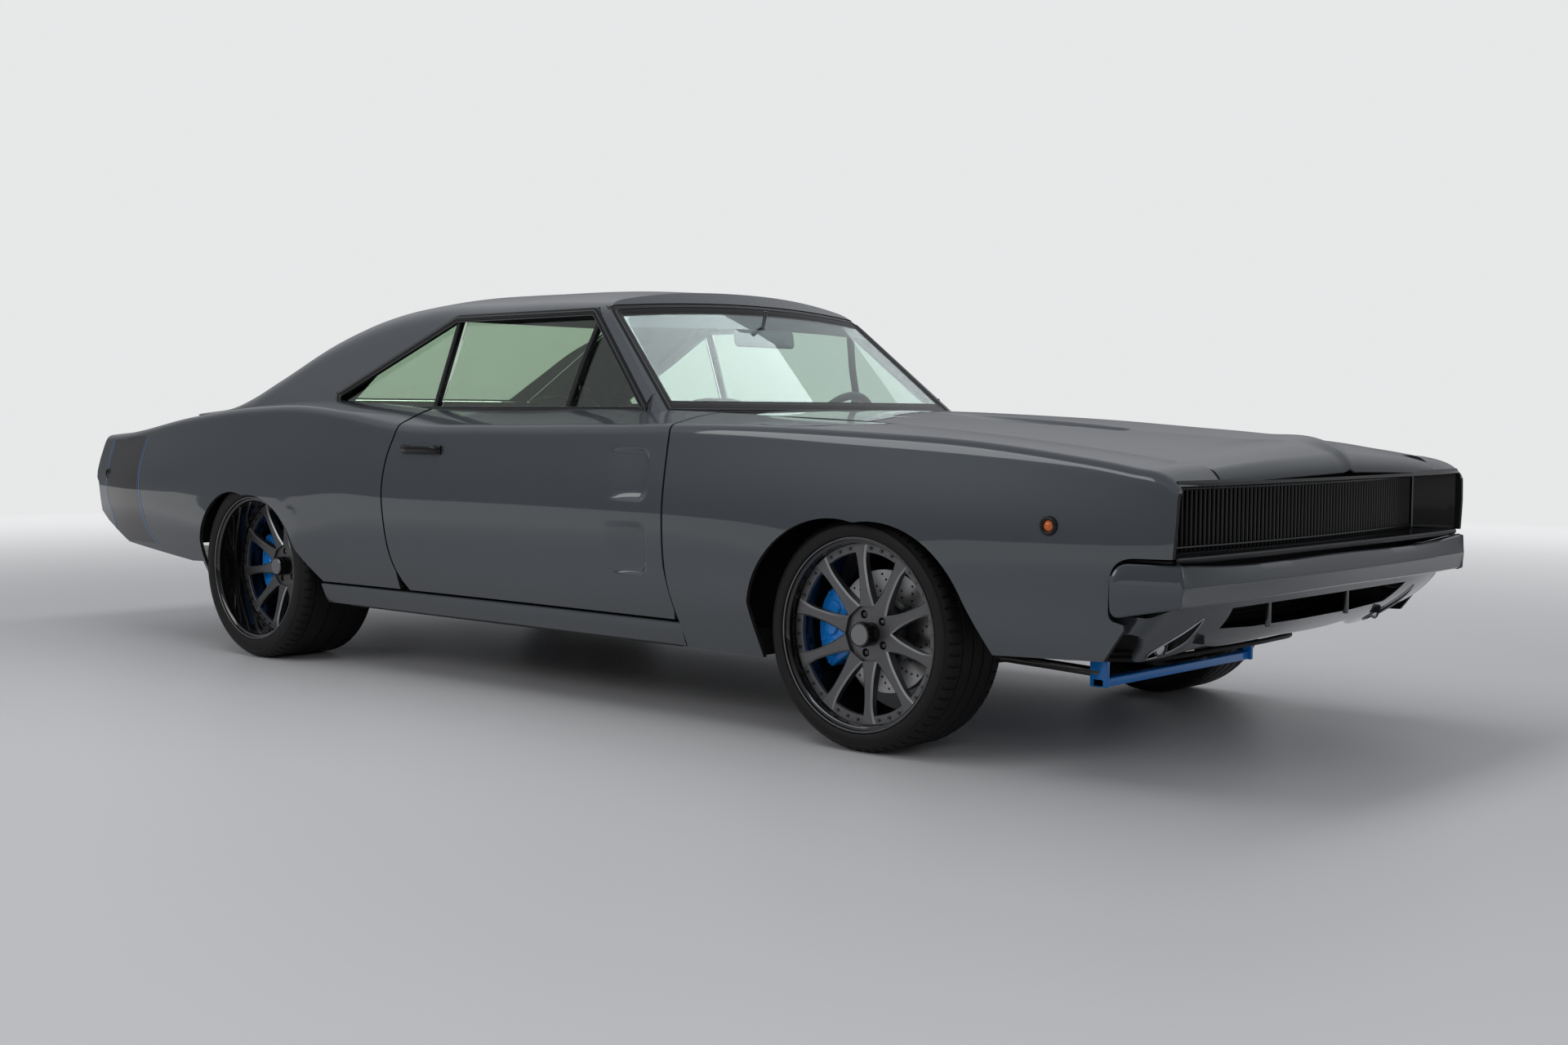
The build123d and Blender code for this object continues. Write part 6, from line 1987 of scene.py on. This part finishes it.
def surface_group():
    """Slow drifts of tone and gloss under a fine grain, from the object's own place."""
    if "Worn Surface" in bpy.data.node_groups:
        return bpy.data.node_groups["Worn Surface"]
    tree = bpy.data.node_groups.new("Worn Surface", "ShaderNodeTree")
    for label, kind, value in (("Color", "Color", (0.5, 0.5, 0.5, 1)), ("Tone Change", "Float", 0.1),
                               ("Patch Scale", "Float", 4.0), ("Grain Scale", "Float", 300.0),
                               ("Roughness", "Float", 0.4), ("Gloss Change", "Float", 0.1)):
        socket = tree.interface.new_socket(name=label, in_out="INPUT", socket_type="NodeSocket" + kind)
        socket.default_value = value
    for label, kind in (("Color", "Color"), ("Roughness", "Float"), ("Grain", "Float")):
        tree.interface.new_socket(name=label, in_out="OUTPUT", socket_type="NodeSocket" + kind)
    given, end = tree.nodes.new("NodeGroupInput").outputs, tree.nodes.new("NodeGroupOutput")
    spot = add_node(tree, "TexCoord").outputs["Object"]
    patch = add_node(tree, "TexNoise", {"Vector": spot, "Scale": given["Patch Scale"], "Detail": 4})
    grain = add_node(tree, "TexNoise", {"Vector": spot, "Scale": given["Grain Scale"], "Detail": 3})
    both = add_node(tree, "Mix", {"Factor": 0.4, "A": patch.outputs["Fac"], "B": grain.outputs["Fac"]})
    drift = add_node(tree, "Math", {0: both.outputs["Result"], 1: 0.5}, operation="SUBTRACT").outputs[0]
    tone = add_node(tree, "Math", {0: drift, 1: given["Tone Change"], 2: 1.0}, operation="MULTIPLY_ADD")
    colour = add_node(tree, "VectorMath", {0: given["Color"], "Scale": tone.outputs[0]}, operation="SCALE")
    gloss = add_node(tree, "Math", {0: drift, 1: given["Gloss Change"], 2: given["Roughness"]},
                     operation="MULTIPLY_ADD", use_clamp=True)
    for label, value in (("Color", colour.outputs[0]), ("Roughness", gloss.outputs[0]),
                         ("Grain", grain.outputs["Fac"])):
        tree.links.new(value, end.inputs[label])
    return tree


# colour, metallic, roughness, coat, tone change, gloss change, patch scale, grain scale, bump
FINISHES = {
    "paint": ((0.046, 0.053, 0.061), 0.35, 0.34, 1.0, 0.08, 0.04, 1.5, 2600, 0.0),
    "underbody": ((0.012, 0.012, 0.013), 0.0, 0.62, 0.0, 0.5, 0.2, 6, 160, 0.25),
    "door_trim": ((0.014, 0.014, 0.015), 0.0, 0.5, 0.0, 0.3, 0.1, 5, 420, 0.3),
    "headliner": ((0.016, 0.016, 0.017), 0.0, 0.9, 0.0, 0.3, 0.1, 5, 700, 0.3),
    "black_trim": ((0.0035, 0.0035, 0.004), 0.0, 0.24, 0.12, 0.3, 0.1, 5, 300, 0.02),
    "black_rubber": ((0.010, 0.010, 0.010), 0.0, 0.5, 0.0, 0.3, 0.15, 8, 500, 0.05),
    "dark_metal": ((0.11, 0.115, 0.12), 0.9, 0.28, 0.0, 0.15, 0.1, 6, 400, 0.01),
    "rim": ((0.110, 0.110, 0.114), 0.80, 0.38, 0.15, 0.15, 0.12, 8, 600, 0.02),
    "rim_black": ((0.003, 0.003, 0.0035), 0.0, 0.15, 1.0, 0.2, 0.04, 6, 300, 0.0),
    "tyre": ((0.0065, 0.0065, 0.0068), 0.0, 0.58, 0.0, 0.35, 0.15, 7, 260, 0.12),
    "disc": ((0.36, 0.36, 0.36), 1.0, 0.32, 0.0, 0.2, 0.2, 9, 500, 0.03),
    "blue": ((0.010, 0.230, 0.720), 0.0, 0.34, 0.6, 0.12, 0.06, 7, 300, 0.02),
    "steel": ((0.10, 0.10, 0.10), 0.8, 0.48, 0.0, 0.4, 0.25, 9, 200, 0.15),
    "leather": ((0.016, 0.016, 0.017), 0.0, 0.46, 0.0, 0.3, 0.15, 7, 340, 0.35),
    "grained": ((0.018, 0.018, 0.019), 0.0, 0.52, 0.0, 0.3, 0.12, 6, 420, 0.3),
    "lamp": ((0.42, 0.085, 0.004), 0.0, 0.12, 1.0, 0.2, 0.05, 9, 200, 0.1),
    "tail_lamp": ((0.30, 0.004, 0.006), 0.0, 0.12, 1.0, 0.2, 0.05, 9, 200, 0.1),
    "bright_edge": ((0.42, 0.43, 0.45), 0.9, 0.22, 0.0, 0.1, 0.1, 6, 400, 0.0),
    "clear_lens": ((0.62, 0.64, 0.66), 0.8, 0.20, 1.0, 0.3, 0.1, 20, 300, 0.1),
    "grille_black": ((0.0045, 0.0045, 0.005), 0.0, 0.30, 0.1, 0.3, 0.1, 6, 300, 0.02),
    "mirror_grey": ((0.22, 0.24, 0.25), 0.0, 0.45, 0.0, 0.1, 0.1, 9, 400, 0.02),
    "spoke_edge": ((0.34, 0.345, 0.355), 0.9, 0.26, 0.0, 0.1, 0.1, 6, 400, 0.0),
    # Grey of the cap faces, and also the colour of the painted highlight ring along each rim lip
    "cap_grey": ((0.20, 0.20, 0.205), 0.9, 0.30, 0.0, 0.1, 0.1, 9, 400, 0.0),
    # Opaque dark blue of the band across the windshield's top: painted reflection and shade
    "tint": ((0.002, 0.006, 0.016), 0.0, 0.45, 0.0, 0.1, 0.02, 6, 300, 0.0),
    "band": ((0.022, 0.021, 0.022), 0.20, 0.42, 1.0, 0.1, 0.05, 2, 2600, 0.0),
    "line_blue": ((0.07, 0.14, 0.26), 0.2, 0.35, 1.0, 0.1, 0.05, 2, 2600, 0.0),
    "exhaust": ((0.30, 0.29, 0.28), 1.0, 0.30, 0.0, 0.3, 0.2, 7, 300, 0.03),
}
BUMP_DEPTH = 0.0006
BASE_SHINE, METAL_SHINE, DULL_SHINE = 0.12, 0.5, 0.22


def new_finish(name, sockets, surface):
    """A material: its shader's own sockets, and the worn surface that colours it."""
    finish = bpy.data.materials.new(name)
    finish.use_nodes = True
    tree = finish.node_tree
    shader = tree.nodes["Principled BSDF"]
    for label, value in sockets.items():
        shader.inputs[label].default_value = value
    worn = add_node(tree, "Group", surface, node_tree=surface_group())
    tree.links.new(worn.outputs["Color"], shader.inputs["Base Color"])
    return finish, tree, shader, worn


def finish_named(name):
    """The material of a finish, made the first time that it is asked for."""
    if "finish_" + name in bpy.data.materials:
        return bpy.data.materials["finish_" + name]
    colour, metallic, rough, coat, tone, gloss, patch, grain, bump = FINISHES[name]
    colour = getattr(bpy.context.scene.car_colours, name, colour)
    shine = BASE_SHINE if coat == 1.0 else METAL_SHINE if metallic > 0.1 else DULL_SHINE
    finish, tree, shader, worn = new_finish(
        "finish_" + name,
        {"Metallic": metallic, "Coat Weight": coat, "Coat Roughness": 0.03, "Specular IOR Level": shine},
        {"Color": (*colour, 1), "Tone Change": tone, "Patch Scale": patch, "Grain Scale": grain,
         "Roughness": rough, "Gloss Change": gloss})
    tree.links.new(worn.outputs["Roughness"], shader.inputs["Roughness"])
    if bump:
        height = add_node(tree, "Bump", {"Strength": bump, "Distance": BUMP_DEPTH,
                                         "Height": worn.outputs["Grain"]})
        tree.links.new(height.outputs["Normal"], shader.inputs["Normal"])
    return finish


def glass_finish(name, colour):
    """Clear tinted glass."""
    if "finish_" + name in bpy.data.materials:
        return bpy.data.materials["finish_" + name]
    return new_finish("finish_" + name, {"Transmission Weight": 1.0, "Roughness": 0.0, "IOR": 1.45},
                      {"Color": (*colour, 1), "Tone Change": 0.04, "Patch Scale": 1.2, "Grain Scale": 3})[0]


def floor_finish():
    """Pale floor with faint drifts, which fades into the backdrop far from the car."""
    finish, tree, shader, worn = new_finish(
        "studio_floor", {"Roughness": 0.42, "Emission Color": BACKDROP},
        {"Color": (0.50, 0.50, 0.51, 1), "Tone Change": 0.04, "Patch Scale": 0.4, "Grain Scale": 40})
    spot = add_node(tree, "TexCoord").outputs["Object"]
    far = add_node(tree, "VectorMath", {0: spot}, operation="LENGTH").outputs["Value"]
    near_edge, far_edge = FLOOR_FADE
    fade, hold = [add_node(tree, "MapRange", {"From Min": near_edge, "From Max": far_edge, "To Min": low,
                                              "To Max": 1 - low, "Value": far},
                           interpolation_type="SMOOTHSTEP")
                  for low in (0.0, 1.0)]
    dim = add_node(tree, "VectorMath", {0: worn.outputs["Color"], "Scale": hold.outputs["Result"]},
                   operation="SCALE")
    tree.links.new(dim.outputs[0], shader.inputs["Base Color"])
    tree.links.new(fade.outputs["Result"], shader.inputs["Emission Strength"])
    tree.links.new(hold.outputs["Result"], shader.inputs["Specular IOR Level"])
    return finish


CARRIED = {
    "cowl": "paint", "rear_deck": "paint", "front_bumper": "paint", "front_valance": "paint",
    "grille": "black_trim",
    "marker_lamps": "lamp", "tail_panel": "black_trim", "tail_lamps": "tail_lamp", "rear_bumper": "paint",
    "dashboard": "grained", "steering_wheel": "grained", "front_seats": "leather", "rear_seat": "leather",
    "engine": "steel", "front_subframe": "underbody", "rear_axle": "steel", "driveshaft": "steel",
    "fuel_tank": "steel",
    "exhaust": "exhaust", "floor_pan": "underbody", "front_rails": "underbody", "trunk_floor": "underbody",
}


class CAR_OT_carried_nodes(Piece, bpy.types.Operator):
    """Finishes of the CAD pieces that are shown as they are"""
    bl_idname = "car.carried_nodes"
    bl_label = "Finishes of CAD pieces"

    def execute(self, context):
        for name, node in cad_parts.items():
            finish = CARRIED.get(name)
            for kind, worn in (("rim", "rim"), ("tyre", "tyre"), ("brake_disc", "disc"), ("caliper", "blue"),
                               ("knuckle", "steel")):
                if name.startswith(kind):
                    finish = worn
            node.data.materials.clear()
            if name in ("windshield", "rear_window", "quarter_glass") or name.startswith("door_glass"):
                node.data.materials.append(glass_finish("side_glass", (0.60, 0.72, 0.60))
                                           if name != "windshield"
                                           else glass_finish("screen_glass", (0.78, 0.90, 0.90)))
            else:
                node.data.materials.append(finish_named(finish or "paint"))
        return {"FINISHED"}


class CAR_PT_panel(bpy.types.Panel):
    """Lists the steps that build the car"""
    bl_idname = "CAR_PT_panel"
    bl_label = "Muscle Car"
    bl_space_type = "VIEW_3D"
    bl_region_type = "UI"
    bl_category = "Muscle Car"

    def draw(self, context):
        for settings, kind in ((context.scene.car_colours, CAR_PG_colours),
                               (context.scene.car_sizes, CAR_PG_sizes)):
            for setting in kind.__annotations__:
                self.layout.prop(settings, setting)
        for step in STEPS:
            self.layout.operator(step.bl_idname)


STEPS = (CAR_OT_carried_nodes, CAR_OT_front_fenders, CAR_OT_rear_quarters, CAR_OT_doors, CAR_OT_roof,
         CAR_OT_hood, CAR_OT_trunk_lid, CAR_OT_front_bumper, CAR_OT_front_valance, CAR_OT_grille,
         CAR_OT_markers, CAR_OT_rims, CAR_OT_tyres, CAR_OT_brakes, CAR_OT_sills, CAR_OT_screen_trim,
         CAR_OT_side_window_trim, CAR_OT_handles, CAR_OT_tail_band, CAR_OT_seats, CAR_OT_cabin,
         CAR_OT_underside, CAR_OT_stage)
CLASSES = (CAR_PG_colours, CAR_PG_sizes) + STEPS + (CAR_PT_panel,)


def register():
    for kind in CLASSES:
        bpy.utils.register_class(kind)
    bpy.types.Scene.car_colours = bpy.props.PointerProperty(type=CAR_PG_colours)
    bpy.types.Scene.car_sizes = bpy.props.PointerProperty(type=CAR_PG_sizes)


def unregister():
    del bpy.types.Scene.car_sizes, bpy.types.Scene.car_colours
    for kind in reversed(CLASSES):
        bpy.utils.unregister_class(kind)


def main():
    """Runs every step in order."""
    register()
    for step in STEPS:
        group, name = step.bl_idname.split(".")
        getattr(getattr(bpy.ops, group), name)()


if __name__ == "__main__":
    main()
